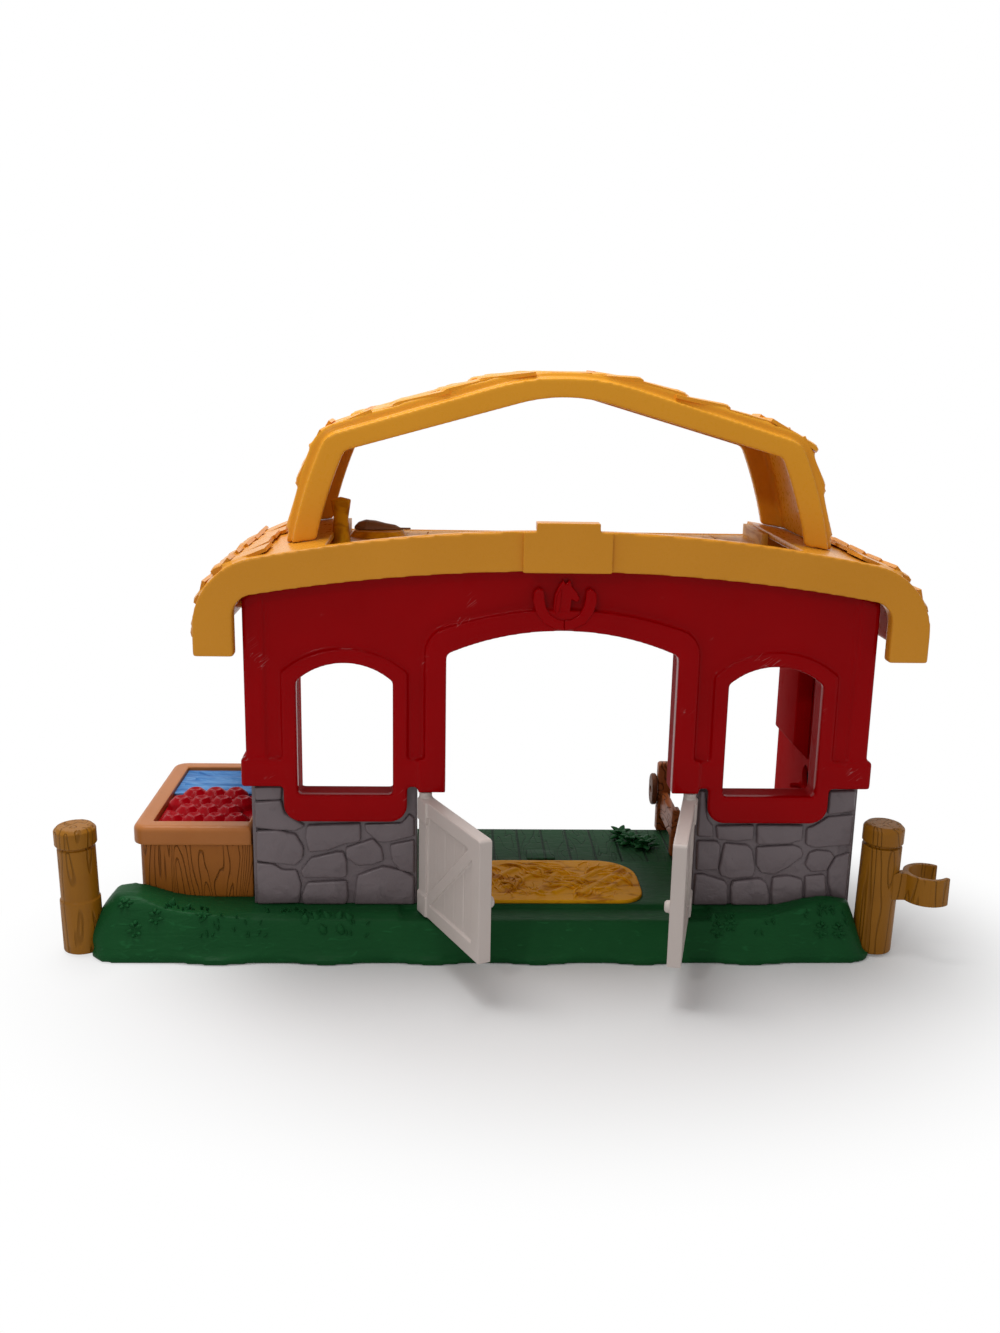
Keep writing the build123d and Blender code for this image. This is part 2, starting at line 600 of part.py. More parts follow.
def hay_patch():
    """The hay insert that drops into the floor, with a few combed swathes."""
    z0 = FLOOR_Z - HAY_SINK
    patch = level(hay_outline(0), z0, z0 + HAY_THICK)
    inner = level(hay_outline(-3), z0 + HAY_THICK - 0.5, z0 + HAY_THICK + 2)
    swathes = Part()
    for n in range(HAY_SWATHES):
        x = (n - (HAY_SWATHES - 1) / 2) * SWATHE_PITCH
        bar = Rot(0, 90, 0) * Cylinder(SWATHE_R, SWATHE_LENGTH + waver(n + 3, 6))
        turned = Rot(0, 0, SWATHE_TURN + waver(n, 14)) * bar
        swathes += Pos(x, (HAY_FRONT + HAY_BACK) / 2 + waver(n + 7, 3), z0 + HAY_THICK - SWATHE_R + 1.1) * turned
    return patch + (swathes & inner)


# ---------------------------------------------------------------- stone walls

def stone_pads(width, height, seed):
    """Uneven stones in three courses over a panel, as faces from (0, 0) to (width, height)."""
    pads = []
    for row in range(STONE_COURSES):
        count = max(2, round(width / STONE_LENGTH) - row % 2)
        low = height * row / STONE_COURSES
        high = height * (row + 1) / STONE_COURSES
        marks = [width * k / count + (waver(seed + 7 * row + k, STONE_SHIFT) if 0 < k < count else 0)
                 for k in range(count + 1)]
        for k in range(count):
            lean = waver(seed + 3 * row + k, STONE_LEAN)
            x0 = marks[k] + MORTAR / 2
            x1 = marks[k + 1] - MORTAR / 2
            left = lean if k else 0
            right = waver(seed + 3 * row + k + 1, STONE_LEAN) if k < count - 1 else 0
            y0 = low + MORTAR / 2
            y1 = high - MORTAR / 2
            corner = (
                (x0 + left, y0), (x1 + right, y0), (x1 - right, y1 - STONE_CHIP / 2), (x1 - right - STONE_CHIP, y1),
                (x0 - left, y1),
            )
            pads.append(make_face(Polyline(*corner, close=True)))
    return pads


def stone_wall():
    """The right stone wall: a front panel and a side panel in one moulding, with stones in relief."""
    outer = HALF_WIDTH - STONE_INSET
    face = STONE_FACE_Y + STONE_RELIEF
    side_face = outer - STONE_RELIEF
    back = STONE_FACE_Y + RETURN_DEPTH
    front = block(STONE_INNER, side_face, face, back, FLOOR_Z, STONE_TOP)
    side = block(LINING_FACE, side_face, face, BARN_BACK, FLOOR_Z, STONE_TOP)
    wall = front + side
    height = STONE_TOP - FLOOR_Z
    pads = Part()
    for pad in stone_pads(side_face - STONE_INNER, height, 1):
        stone = extrude(Plane((STONE_INNER, face, FLOOR_Z), x_dir=(1, 0, 0), z_dir=(0, -1, 0)) * pad,
                        STONE_RELIEF, taper=STONE_TAPER)
        pads += stone
    for pad in stone_pads(BARN_BACK - face, height, 4):
        stone = extrude(Plane((side_face, face, FLOOR_Z), x_dir=(0, 1, 0), z_dir=(1, 0, 0)) * pad,
                        STONE_RELIEF, taper=STONE_TAPER)
        pads += stone
    wall += pads
    for x, y in screw_places():
        wall -= rod(x, y, FLOOR_Z - 1, SCREW_SEAT + SCREW_LENGTH + SEAT_GAP, SCREW_R + SEAT_GAP)
    notch = window_opening(LINING + SEAT_GAP, WINDOW_SILL - LINING - SEAT_GAP)
    return wall - upright(notch, STONE_FACE_Y - 1, back + 1)


# ---------------------------------------------------------------- red walls

def arched_opening(x0, x1, bottom, spring, apex):
    """An opening with upright sides and a shallow arch."""
    middle = (x0 + x1) / 2
    sides = Polyline((x0, spring), (x0, bottom), (x1, bottom), (x1, spring))
    top = ThreePointArc((x0, spring), (middle, apex), (x1, spring))
    return make_face(Curve() + [sides, top])


def window_opening(grow, bottom):
    """The right window's opening, grown all round."""
    return arched_opening(
        WINDOW_INNER - grow, WINDOW_OUTER + grow, bottom, WINDOW_SPRING + grow * 0.6, WINDOW_APEX + grow
    )


def doorway_opening(grow, bottom):
    """The doorway's opening, grown all round, with softened shoulders."""
    half = DOORWAY_HALF + grow
    face = arched_opening(-half, half, bottom, DOORWAY_SPRING + grow * 0.9, DOORWAY_APEX + grow)
    return fillet([v for v in face.vertices() if abs(v.Y - bottom) > 1], 3 + grow)


def front_wall():
    """The red front: planks behind a doorway surround, window frames, corner boards and a belt."""
    under_roof = eave_region(ROOF_SKIN + SEAT_GAP, STONE_TOP)
    outline = under_roof & rectangle(-HALF_WIDTH, HALF_WIDTH, STONE_TOP, EAVE_CROWN)
    wall = upright(outline, 0, WALL_SKIN)
    board_top = fascia_region(-SEAT_GAP, STONE_TOP)
    trim = Part()
    for side in (-1, 1):
        x0, x1 = sorted((side * HALF_WIDTH, side * (HALF_WIDTH - PILASTER_WIDTH)))
        board = rectangle(x0, x1, STONE_TOP, EAVE_CROWN) & board_top
        trim += upright(board, -PILASTER_PROUD, WALL_SKIN)
        x0, x1 = sorted((side * (HALF_WIDTH + BELT_PROUD), side * FOOT_OUTER))
        belt = block(x0, x1, -BELT_PROUD, WALL_SKIN, STONE_TOP, BELT_TOP)
        trim += fillet(belt.edges().filter_by(Axis.X).group_by(Axis.Y)[0].sort_by(Axis.Z)[-1], 1.5)
        frame = window_opening(FRAME_WIDTH, APRON_BOTTOM)
        frame = fillet(frame.vertices().sort_by(Axis.Y)[:2], APRON_CORNER)
        frame = upright(frame, -FRAME_PROUD, STONE_FACE_Y - SEAT_GAP)
        lining = upright(window_opening(LINING, WINDOW_SILL - LINING), 0, RETURN_DEPTH)
        window = frame + lining
        trim += window if side > 0 else mirrored(window)
    surround = doorway_opening(SURROUND_WIDTH, FOOT_TOP - 1)
    trim += upright(surround, -SURROUND_PROUD, WALL_SKIN)
    trim += upright(doorway_opening(LINING, FOOT_TOP - 1), 0, RETURN_DEPTH)
    for side in (-1, 1):
        x0, x1 = sorted((side * (DOORWAY_HALF - 1), side * FOOT_OUTER))
        foot = block(x0, x1, -SURROUND_PROUD, RETURN_DEPTH, FOOT_BOTTOM, FOOT_TOP)
        trim += foot
    wall += trim
    for x in (-HINGE_X, HINGE_X):
        wall -= rod(x, HINGE_Y, FOOT_BOTTOM - 1, FOOT_BOTTOM + PIN_LENGTH + 1, PIN_R + RUN_GAP)
    wall -= block(-FOOT_OUTER, FOOT_OUTER, -CUT, CUT, 0, FOOT_BOTTOM)
    wall -= upright(doorway_opening(0, FOOT_BOTTOM - 1), -CUT, CUT)
    window = upright(window_opening(0, WINDOW_SILL), -CUT, CUT)
    return wall - window - mirrored(window)


def feed_slot(x0, x1):
    """The oval slot below the chute, as a bar that cuts it."""
    oval = Pos(SLOT_Y, SLOT_Z) * Ellipse(SLOT_WIDTH / 2, SLOT_HEIGHT / 2)
    return extrude(Plane.YZ.offset(x0) * oval, x1 - x0)


def feeding_wall(wall):
    """The right side wall with the peg and the slot below its chute."""
    peg = Pos(CHUTE_WALL - PEG_LENGTH / 2, PEG_Y, PEG_Z) * Rot(0, 90, 0) * Cylinder(PEG_R, PEG_LENGTH)
    return wall - feed_slot(CHUTE_WALL - 1, LINING_FACE) + peg


def side_wall():
    """The right side wall: a closed panel with planks outside, a belt, a lining inside the stone, and pockets
    for the roof's screws."""
    inner = HALF_WIDTH - RETURN_DEPTH
    under_roof = eave_region(ROOF_SKIN + SEAT_GAP, STONE_TOP)
    outline = under_roof & rectangle(inner, HALF_WIDTH, STONE_TOP, WALL_TOP)
    wall = upright(outline, WALL_SKIN, BARN_BACK)
    lining_front = STONE_FACE_Y + RETURN_DEPTH + SEAT_GAP
    wall += block(inner, inner + SIDE_LINING, lining_front, BARN_BACK, FLOOR_Z, STONE_TOP)
    wall += block(HALF_WIDTH - WALL_SKIN, HALF_WIDTH + BELT_PROUD, WALL_SKIN, BARN_BACK, STONE_TOP, BELT_TOP)
    wall += block(HALF_WIDTH - WALL_SKIN, HALF_WIDTH + PILASTER_PROUD, BARN_BACK - PILASTER_WIDTH, BARN_BACK,
                  STONE_TOP, EAVE_BOTTOM - 2)
    planks = 6
    plank = (BARN_BACK - PILASTER_WIDTH) / planks
    for n in range(1, planks):
        wall -= block(HALF_WIDTH - PLANK_GROOVE, HALF_WIDTH + 1, n * plank + WALL_SKIN,
                      n * plank + WALL_SKIN + PLANK_GROOVE, BELT_TOP + 4, EAVE_BOTTOM)
    for x, y in roof_screw_places()[2:]:
        wall -= rod(x, y, WALL_TOP - WALL_SKIN - 1, WALL_TOP + 1, SCREW_R + SEAT_GAP)
        wall -= block(inner - 1, x + SCREW_HEAD_R + 1, y - SCREW_HEAD_R - 1, y + SCREW_HEAD_R + 1,
                      WALL_TOP - WALL_SKIN - POCKET, WALL_TOP - WALL_SKIN)
    band = eave_region(0, EAVE_BOTTOM) - fascia_region(-SEAT_GAP, EAVE_BOTTOM - CUT)
    return wall - upright(band, ROOF_BACK - FASCIA_THICK - SEAT_GAP, BARN_BACK + CUT)


def horseshoe():
    """The horseshoe over the doorway, open side up."""
    ring = Circle(SHOE_R) - Circle(SHOE_R - SHOE_BAR)
    lower = ring & rectangle(-SHOE_R, SHOE_R, -SHOE_R, 0)
    for side in (-1, 1):
        x0, x1 = sorted((side * SHOE_R, side * (SHOE_R - SHOE_BAR)))
        lower += rectangle(x0, x1, 0, SHOE_R * 0.4)
        lower += Pos(side * (SHOE_R - SHOE_BAR / 2), SHOE_R * 0.4) * Circle(SHOE_BAR * 0.62)
    shoe = upright(Pos(0, SHOE_Z) * lower, -SHOE_PROUD, 0)
    shoe -= upright(doorway_opening(SURROUND_WIDTH + SEAT_GAP, FOOT_TOP), -SURROUND_PROUD - SEAT_GAP, 1)
    for angle in SHOE_NAILS:
        x = (SHOE_R - SHOE_BAR / 2) * cos(radians(angle))
        z = SHOE_Z + (SHOE_R - SHOE_BAR / 2) * sin(radians(angle))
        shoe -= upright(Pos(x, z) * Circle(NAIL_R), -SHOE_PROUD - 1, -SHOE_PROUD + NAIL_R)
    return shoe


# ---------------------------------------------------------------- doors

def left_door_closed():
    """The left door, closed: a framed plank panel with a brace, on two pins."""
    z0 = DOOR_FOOT
    x0 = -HINGE_X
    x1 = -DOOR_MEET_GAP / 2
    y0 = HINGE_Y - DOOR_THICK / 2
    outline = rectangle(x0, x1, z0, DOOR_TOP)
    free_top = outline.vertices().sort_by(Axis.X)[-2:].sort_by(Axis.Y)[-1]
    door = upright(fillet(free_top, DOOR_CORNER), y0, y0 + DOOR_THICK)
    door += rod(-HINGE_X, HINGE_Y, z0, DOOR_TOP, DOOR_THICK / 2)
    panel = rectangle(x0 + DOOR_RAIL, x1 - DOOR_RAIL, z0 + DOOR_RAIL, DOOR_TOP - DOOR_RAIL)
    width = x1 - x0 - 2 * DOOR_RAIL
    height = DOOR_TOP - z0 - 2 * DOOR_RAIL
    brace_run = hypot(width, height)
    tilt = Rot(0, 0, degrees(atan2(height, width)))
    brace = Pos((x0 + x1) / 2, (z0 + DOOR_TOP) / 2) * tilt * Rectangle(brace_run, BRACE_WIDTH)
    door -= upright(panel - brace, y0 - 1, y0 + PANEL_SINK)
    door -= upright(panel, y0 + DOOR_THICK - PANEL_SINK, y0 + DOOR_THICK + 1)
    for n in range(1, DOOR_PLANKS):
        x = x0 + DOOR_RAIL + n * width / DOOR_PLANKS - PLANK_GROOVE / 2
        groove = rectangle(x, x + PLANK_GROOVE, z0 + DOOR_RAIL, DOOR_TOP - DOOR_RAIL)
        door -= upright(groove - brace, y0 - 1, y0 + PANEL_SINK + 0.5)
    for low in (z0, DOOR_TOP - LUG_HEIGHT):
        door += block(x0 - 1, x0 + LUG_WIDTH, y0 - LUG_PROUD, y0 + 1, low, low + LUG_HEIGHT)
    knob = Pos(x1 - DOOR_RAIL / 2, z0 + KNOB_RISE) * Circle(KNOB_R)
    door += chamfer(upright(knob, HINGE_Y, y0 + DOOR_THICK + KNOB_OUT).edges().group_by(Axis.Y)[-1], KNOB_CHAMFER)
    door += rod(-HINGE_X, HINGE_Y, DOOR_TOP, FOOT_BOTTOM - KNUCKLE_GAP, KNUCKLE_R)
    door += rod(-HINGE_X, HINGE_Y, LEDGE_Z + KNUCKLE_GAP, z0, KNUCKLE_R)
    return door + rod(-HINGE_X, HINGE_Y, LEDGE_Z - PIN_LENGTH, FOOT_BOTTOM + PIN_LENGTH, PIN_R)


# ---------------------------------------------------------------- roof

def roof_shell():
    """The lower roof: a thin vault with a deep front band, a back band and a loft open at the top and back."""
    ring = eave_region(0, EAVE_BOTTOM) - eave_region(ROOF_SKIN, EAVE_BOTTOM - CUT)
    roof = upright(ring, FASCIA_FRONT, ROOF_BACK)
    band = eave_region(0, EAVE_BOTTOM) - fascia_region(0, EAVE_BOTTOM - CUT)
    roof += upright(band, FASCIA_FRONT, FASCIA_FRONT + FASCIA_THICK)
    roof += upright(band, ROOF_BACK - FASCIA_THICK, ROOF_BACK)
    soffit = fascia_region(FASCIA_THICK, EAVE_BOTTOM) - fascia_region(0, EAVE_BOTTOM - CUT)
    roof += upright(soffit, FASCIA_FRONT, SOFFIT_BACK)
    roof -= block(-LOFT_HALF, LOFT_HALF, LOFT_FRONT, LOFT_BACK, FASCIA_CROWN, EAVE_CROWN + CUT)
    roof -= block(-LOFT_HALF, LOFT_HALF, LOFT_FRONT, ROOF_BACK + CUT, LOFT_FLOOR, EAVE_CROWN + CUT)
    roof += eave_courses()
    for x, y in roof_screw_places():
        boss = rod(x, y, WALL_TOP, EAVE_CROWN, BOSS_R) & upright(eave_region(1, 0), 0, ROOF_BACK)
        roof += boss - rod(x, y, WALL_TOP - 1, WALL_TOP + BOSS_HOLE, SCREW_R + SEAT_GAP)
    return roof


def eave_courses():
    """Bundles of straw that lap down over the shoulders of the lower roof."""
    wedges = Part()
    lane = (ROOF_BACK - FASCIA_FRONT - 2 * EAVE_STRAW_INSET) / LANES
    drop = radians(EAVE_ROW_DROP)
    shoulder = EAVE_HALF - EAVE_CORNER
    shoulder_z = EAVE_CROWN - EAVE_RADIUS + sqrt(EAVE_RADIUS**2 - shoulder**2) - EAVE_CORNER
    for row in range(EAVE_ROWS):
        for n in range(LANES):
            turn = radians(EAVE_FIRST_ROW - EAVE_ROW_PITCH * row + waver(row * 5 + n, 4))
            y0 = FASCIA_FRONT + EAVE_STRAW_INSET + n * lane
            tip = EAVE_CORNER + COURSE_STEP
            inner = EAVE_CORNER - 1
            points = [
                (shoulder + inner * cos(turn), shoulder_z + inner * sin(turn)),
                (shoulder + (EAVE_CORNER + 0.1) * cos(turn), shoulder_z + (EAVE_CORNER + 0.1) * sin(turn)),
                (shoulder + tip * cos(turn - drop), shoulder_z + tip * sin(turn - drop)),
                (shoulder + inner * cos(turn - drop), shoulder_z + inner * sin(turn - drop)),
            ]
            wedge = upright(make_face(Polyline(*points, close=True)), y0, y0 + lane - LANE_GAP)
            wedges += wedge + mirrored(wedge)
    return wedges


def thatch_path():
    """Places down the right half of the arch's thatch, from its peak to the roof, with the way along it."""
    foot = EAVE_CROWN - LEG_SUNK
    outline = gable_region(GABLE_THATCH, foot).face().outer_wire()
    samples = 240
    places = [outline.position_at(n / samples) for n in range(samples)]
    right = [(p.X, p.Y) for p in places if p.X > 0 and p.Y > EAVE_CROWN - 6]
    right.sort(key=lambda p: atan2(p[0], p[1] - foot))
    way = [0.0]
    for before, after in zip(right, right[1:]):
        way.append(way[-1] + hypot(after[0] - before[0], after[1] - before[1]))
    return right, way


def arch_courses():
    """Bundles of straw that lap down both slopes and both legs of the arch."""
    places, way = thatch_path()
    count = max(1, round((way[-1] - COURSE_START) / COURSE_PITCH))
    pitch = (way[-1] - COURSE_START) / count
    lane = (ARCH_BACK - ARCH_FRONT - ARCH_LIP - 2 * STRAW_INSET) / LANES
    wedges = Part()
    for k in range(count):
        for n in range(LANES):
            start = COURSE_START + k * pitch
            end = min(start + pitch + waver(k * 5 + n, 3), way[-1])
            ax, az = next(place for place, gone in zip(places, way) if gone >= start)
            bx, bz = next(place for place, gone in zip(places, way) if gone >= end)
            length = hypot(bx - ax, bz - az)
            out_x, out_z = (az - bz) / length, (bx - ax) / length
            y0 = ARCH_FRONT + ARCH_LIP + STRAW_INSET + n * lane
            points = [
                (ax - out_x * COURSE_ROOT, az - out_z * COURSE_ROOT),
                (ax, az),
                (bx + out_x * COURSE_STEP, bz + out_z * COURSE_STEP),
                (bx - out_x * COURSE_ROOT, bz - out_z * COURSE_ROOT),
            ]
            wedge = upright(make_face(Polyline(*points, close=True)), y0, y0 + lane - LANE_GAP)
            wedges += wedge + mirrored(wedge)
    return wedges


def thinned(gable):
    """A gabled outline pulled in by the roof's skin."""
    peak, peak_r, shoulder_x, shoulder_z, shoulder_r, lean = gable
    return (peak - ROOF_SKIN, peak_r, shoulder_x - ROOF_SKIN, shoulder_z - ROOF_SKIN, shoulder_r - ROOF_SKIN, lean)


def roof_handle():
    """The thatched arch that is the carrying handle: a channel open below, with a lip round its front."""
    foot = EAVE_CROWN - LEG_SUNK
    inner = gable_region(GABLE_INNER, foot - 10)
    lip = gable_region(GABLE_LIP, foot) - inner
    thatch = gable_region(GABLE_THATCH, foot) - inner
    thatch_front = ARCH_FRONT + ARCH_LIP
    arch = upright(lip, ARCH_FRONT, ARCH_BACK)
    thatch_back = ARCH_BACK - STRAW_INSET
    arch += upright(thatch, thatch_front, thatch_back)
    arch -= upright(gable_region(thinned(GABLE_THATCH), foot - 5), thatch_front + FLANGE, thatch_back - FLANGE)
    arch -= upright(gable_region(thinned(GABLE_LIP), foot - 5), ARCH_FRONT + FLANGE, thatch_front + FLANGE + 1)
    arch += arch_courses()
    return arch - upright(eave_region(-SEAT_GAP, 0), FASCIA_FRONT, ROOF_BACK + CUT)


def name_plaque():
    """The bare plaque in the middle of the front band, with a step at its top."""
    front = FASCIA_FRONT - PLAQUE_PROUD
    low = FASCIA_CROWN - 0.5
    face = rectangle(-PLAQUE_HALF, PLAQUE_HALF, low, EAVE_CROWN)
    face += rectangle(-PLAQUE_STEP_HALF, PLAQUE_STEP_HALF, low, PLAQUE_TOP)
    plaque = upright(face, front, LOFT_FRONT)
    inside = upright(eave_region(-SEAT_GAP, 0), FASCIA_FRONT, CUT)
    return plaque - inside


def loft_floor():
    """The hayloft floor: a tray that hangs in the roof's opening."""
    half = LOFT_HALF - SEAT_GAP
    y0 = WALL_SKIN + SEAT_GAP
    y1 = LOFT_BACK - SEAT_GAP
    tray = block(-half, half, y0, y1, LOFT_FLOOR - WALL_SKIN, LOFT_FLOOR)
    for x in (-half, half - WALL_SKIN):
        tray += block(x, x + WALL_SKIN, CURB_FRONT, y1, LOFT_FLOOR - 1, LOFT_FLOOR + LOFT_CURB)
    for n in range(1, LOFT_PLANKS):
        x = -half + n * 2 * half / LOFT_PLANKS
        tray -= block(x, x + PLANK_GROOVE, y0 + 3, y1 - 3, LOFT_FLOOR - PLANK_GROOVE, LOFT_FLOOR + 1)
    return tray


def spindle(points):
    """A turned piece along X from its outline's places along X and radii."""
    start, end = points[0][0], points[-1][0]
    outline = Polyline((start, 0), *points, (end, 0), close=True)
    return revolve(make_face(outline), Axis.X)


def mound(x, y, z, rx, ry, rz):
    """A low heap with sloping sides on a flat floor."""
    corner = min(rx, ry) * 0.8
    inset = rz * tan(radians(HAY_HEAP_SLOPE))
    low = Pos(x, y) * RectangleRounded(2 * rx, 2 * ry, corner)
    high = Pos(x, y) * RectangleRounded(2 * (rx - inset), 2 * (ry - inset), corner - inset)
    return loft([Plane.XY.offset(z) * low, Plane.XY.offset(z + rz) * high], ruled=True)


def loft_hay():
    """Loose hay on the loft floor, heaped towards the left leg of the arch."""
    heap = mound(-HAY_HEAP_X, HAY_HEAP_Y, LOFT_FLOOR, HEAP_HALF_LENGTH, HEAP_HALF_WIDTH, HAY_HEAP_HEIGHT)
    tuft = mound(-HAY_HEAP_X - 0.6 * HEAP_HALF_LENGTH, HAY_HEAP_Y + HEAP_HALF_WIDTH / 2, LOFT_FLOOR,
                 HEAP_HALF_LENGTH / 3, HEAP_HALF_WIDTH / 2, HAY_HEAP_HEIGHT + 1)
    return heap + tuft


def loft_cat():
    """A cat asleep on the hay: a curled back, a low head and a tail, without detail."""
    z = LOFT_FLOOR + HAY_HEAP_HEIGHT
    body = spindle([(-12, 1.5), (-10, 3.6), (-6.4, 4.8), (-1.6, 4.4), (3.2, 3.2), (8, 2.4), (10.4, 1.1)])
    tail = Pos(12, 0, 0) * Rot(0, 90, 0) * Cylinder(1.1, 7)
    cat = Pos(-HAY_HEAP_X, HAY_HEAP_Y, z) * (body + tail)
    return cat - block(-HALF_WIDTH, 0, 0, BARN_BACK, 0, z + SEAT_GAP / 2) - loft_hay()


def loft_sheaf():
    """A sheaf of straw that stands by the left leg of the arch."""
    foot = LOFT_FLOOR + 0.1
    top, waist = SHEAF_HEIGHT, SHEAF_HEIGHT * 0.55
    outline = Polyline(
        (0, 0), (SHEAF_R, 0), (SHEAF_R * 0.7, waist), (SHEAF_R, top - 1), (0, top), close=True)
    sheaf = revolve(make_face(Plane.XZ * outline), Axis.Z)
    return Pos(-SHEAF_X, SHEAF_Y, foot) * sheaf - loft_hay()


# ---------------------------------------------------------------- trough

def trough_outline(inset, corner):
    """The trough's outline against the barn's left wall, pulled in on three sides."""
    wall = -HALF_WIDTH - SEAT_GAP
    outline = rectangle(-TROUGH_LEFT + inset, wall, TROUGH_FRONT + inset, TROUGH_BACK - inset)
    return fillet(outline.vertices().sort_by(Axis.X)[:2], corner)


def trough_box():
    """The plank box under the rim."""
    inset = RIM_OVERHANG
    top = RIM_TOP - RIM_HEIGHT
    box = level(trough_outline(inset, RIM_CORNER - 2), FLOOR_Z, top)
    cavity = rectangle(
        -TROUGH_LEFT + inset + TROUGH_WALL, -HALF_WIDTH - SEAT_GAP - TROUGH_WALL,
        TROUGH_FRONT + inset + TROUGH_WALL, TROUGH_BACK - inset - TROUGH_WALL,
    )
    box -= level(cavity, FLOOR_Z + TROUGH_WALL, top + 1)
    width = (TROUGH_LEFT - HALF_WIDTH - inset) / TROUGH_PLANKS
    for n in range(1, TROUGH_PLANKS):
        x = -TROUGH_LEFT + inset + n * width
        box -= block(x, x + PLANK_GROOVE, TROUGH_FRONT + inset - 1, TROUGH_FRONT + inset + PLANK_GROOVE,
                     FLOOR_Z - 1, top + 1)
    return box


def trough_rim():
    """The thick rounded rim on the box, with a seat for the water and the apples."""
    top = RIM_TOP
    rim = level(trough_outline(0, RIM_CORNER), top - RIM_HEIGHT, top)
    edges = rim.edges().group_by(Axis.Z)[-1]
    rim = fillet(edges, RIM_ROUND)
    opening = rectangle(
        -TROUGH_LEFT + RIM_WIDTH, -HALF_WIDTH - SEAT_GAP - FILL_LEDGE,
        TROUGH_FRONT + RIM_WIDTH, TROUGH_BACK - RIM_WIDTH,
    )
    return rim - level(opening, top - RIM_HEIGHT - 1, top + 1)


def filling(y0, y1, z_top):
    """A plate that fills the rim from y0 to y1."""
    return block(
        -TROUGH_LEFT + RIM_WIDTH + SEAT_GAP, -HALF_WIDTH - 2 * SEAT_GAP - FILL_LEDGE, y0, y1,
        RIM_TOP - RIM_HEIGHT, z_top,
    )


def water_panel():
    """The back half of the filling: rippled water."""
    level_z = RIM_TOP - FILL_DROP
    y0 = WATER_SPLIT + SEAT_GAP
    y1 = TROUGH_BACK - RIM_WIDTH - SEAT_GAP
    water = filling(y0, y1, level_z)
    ripples = Part()
    for n in range(RIPPLES):
        y = y0 + (y1 - y0) * (n + 0.5) / RIPPLES
        ripple = Rot(0, 90, waver(n, 8)) * Cylinder(RIPPLE_R, RIPPLE_LENGTH + waver(n + 2, 5))
        ripples += Pos(-(TROUGH_LEFT + HALF_WIDTH) / 2, y, level_z - RIPPLE_R + RIPPLE_HIGH) * ripple
    return water + (ripples & filling(y0, y1, RIM_TOP))


def apple_pile():
    """The front half of the filling: apples heaped in rows."""
    y0 = TROUGH_FRONT + RIM_WIDTH + SEAT_GAP
    pile = filling(y0, WATER_SPLIT, RIM_TOP - FILL_DROP - 1)
    x0 = -TROUGH_LEFT + RIM_WIDTH + SEAT_GAP + APPLE_R
    x1 = -HALF_WIDTH - 2 * SEAT_GAP - FILL_LEDGE - APPLE_R
    r = APPLE_R
    outline = Polyline((0, -r), (r, -r), (r, 0.15 * r), (0.8 * r, 0.65 * r), (0.4 * r, r), (0, 0.85 * r), close=True)
    apple = revolve(make_face(Plane.XZ * outline), Axis.Z)
    apples = Part()
    for row in range(APPLE_ROWS):
        for column in range(APPLE_COLUMNS - row % 2):
            x = x0 + (x1 - x0) * (column + 0.5 * (row % 2)) / (APPLE_COLUMNS - 1)
            y = y0 + r + (WATER_SPLIT - y0 - 2 * r) * row / (APPLE_ROWS - 1)
            apples += Pos(x, y, RIM_TOP - r + APPLE_HIGH + APPLE_ROW_RISE * row) * apple
    top = filling(y0, WATER_SPLIT, RIM_TOP + 2 * APPLE_R)
    return pile + (apples & top)


# ---------------------------------------------------------------- fence posts

def log(x, side, z0, z1, r):
    """A round bar on a post's leaning axis, which leans outwards on its side of the barn."""
    return Pos(x, POST_Y, 0) * Rot(0, side * POST_LEAN, 0) * rod(0, 0, z0, z1, r)


def fence_post(x, side, top):
    """A round log with a cap over a groove whose foot is at top."""
    post = log(x, side, 1, top, POST_R)
    post += log(x, side, top, top + CAP_GROOVE, POST_NECK_R - 1)
    cap = log(x, side, top + CAP_GROOVE, top + CAP_GROOVE + CAP_HEIGHT, POST_R + CAP_OUT)
    return post + chamfer(cap.edges().filter_by(GeomType.CIRCLE).sort_by(Axis.Z)[-1], CAP_CHAMFER)


def left_post():
    """The left post, with a smooth neck that another set's clip snaps round."""
    x = -POST_LEFT_X
    sleeve = log(x, -1, NECK_BOTTOM, NECK_TOP, POST_R + 1) - log(x, -1, NECK_BOTTOM, NECK_TOP, POST_NECK_R)
    return fence_post(x, -1, NECK_TOP) - sleeve


def right_post():
    """The right post, a plain log that carries the clip."""
    return fence_post(POST_RIGHT_X, 1, NECK_TOP + RIGHT_POST_RISE)


def clip_centre():
    """The middle of the clip's ring."""
    return (POST_RIGHT_X + POST_R + CLIP_GAP + CLIP_R + CLIP_STRAP, POST_Y - CLIP_SET)


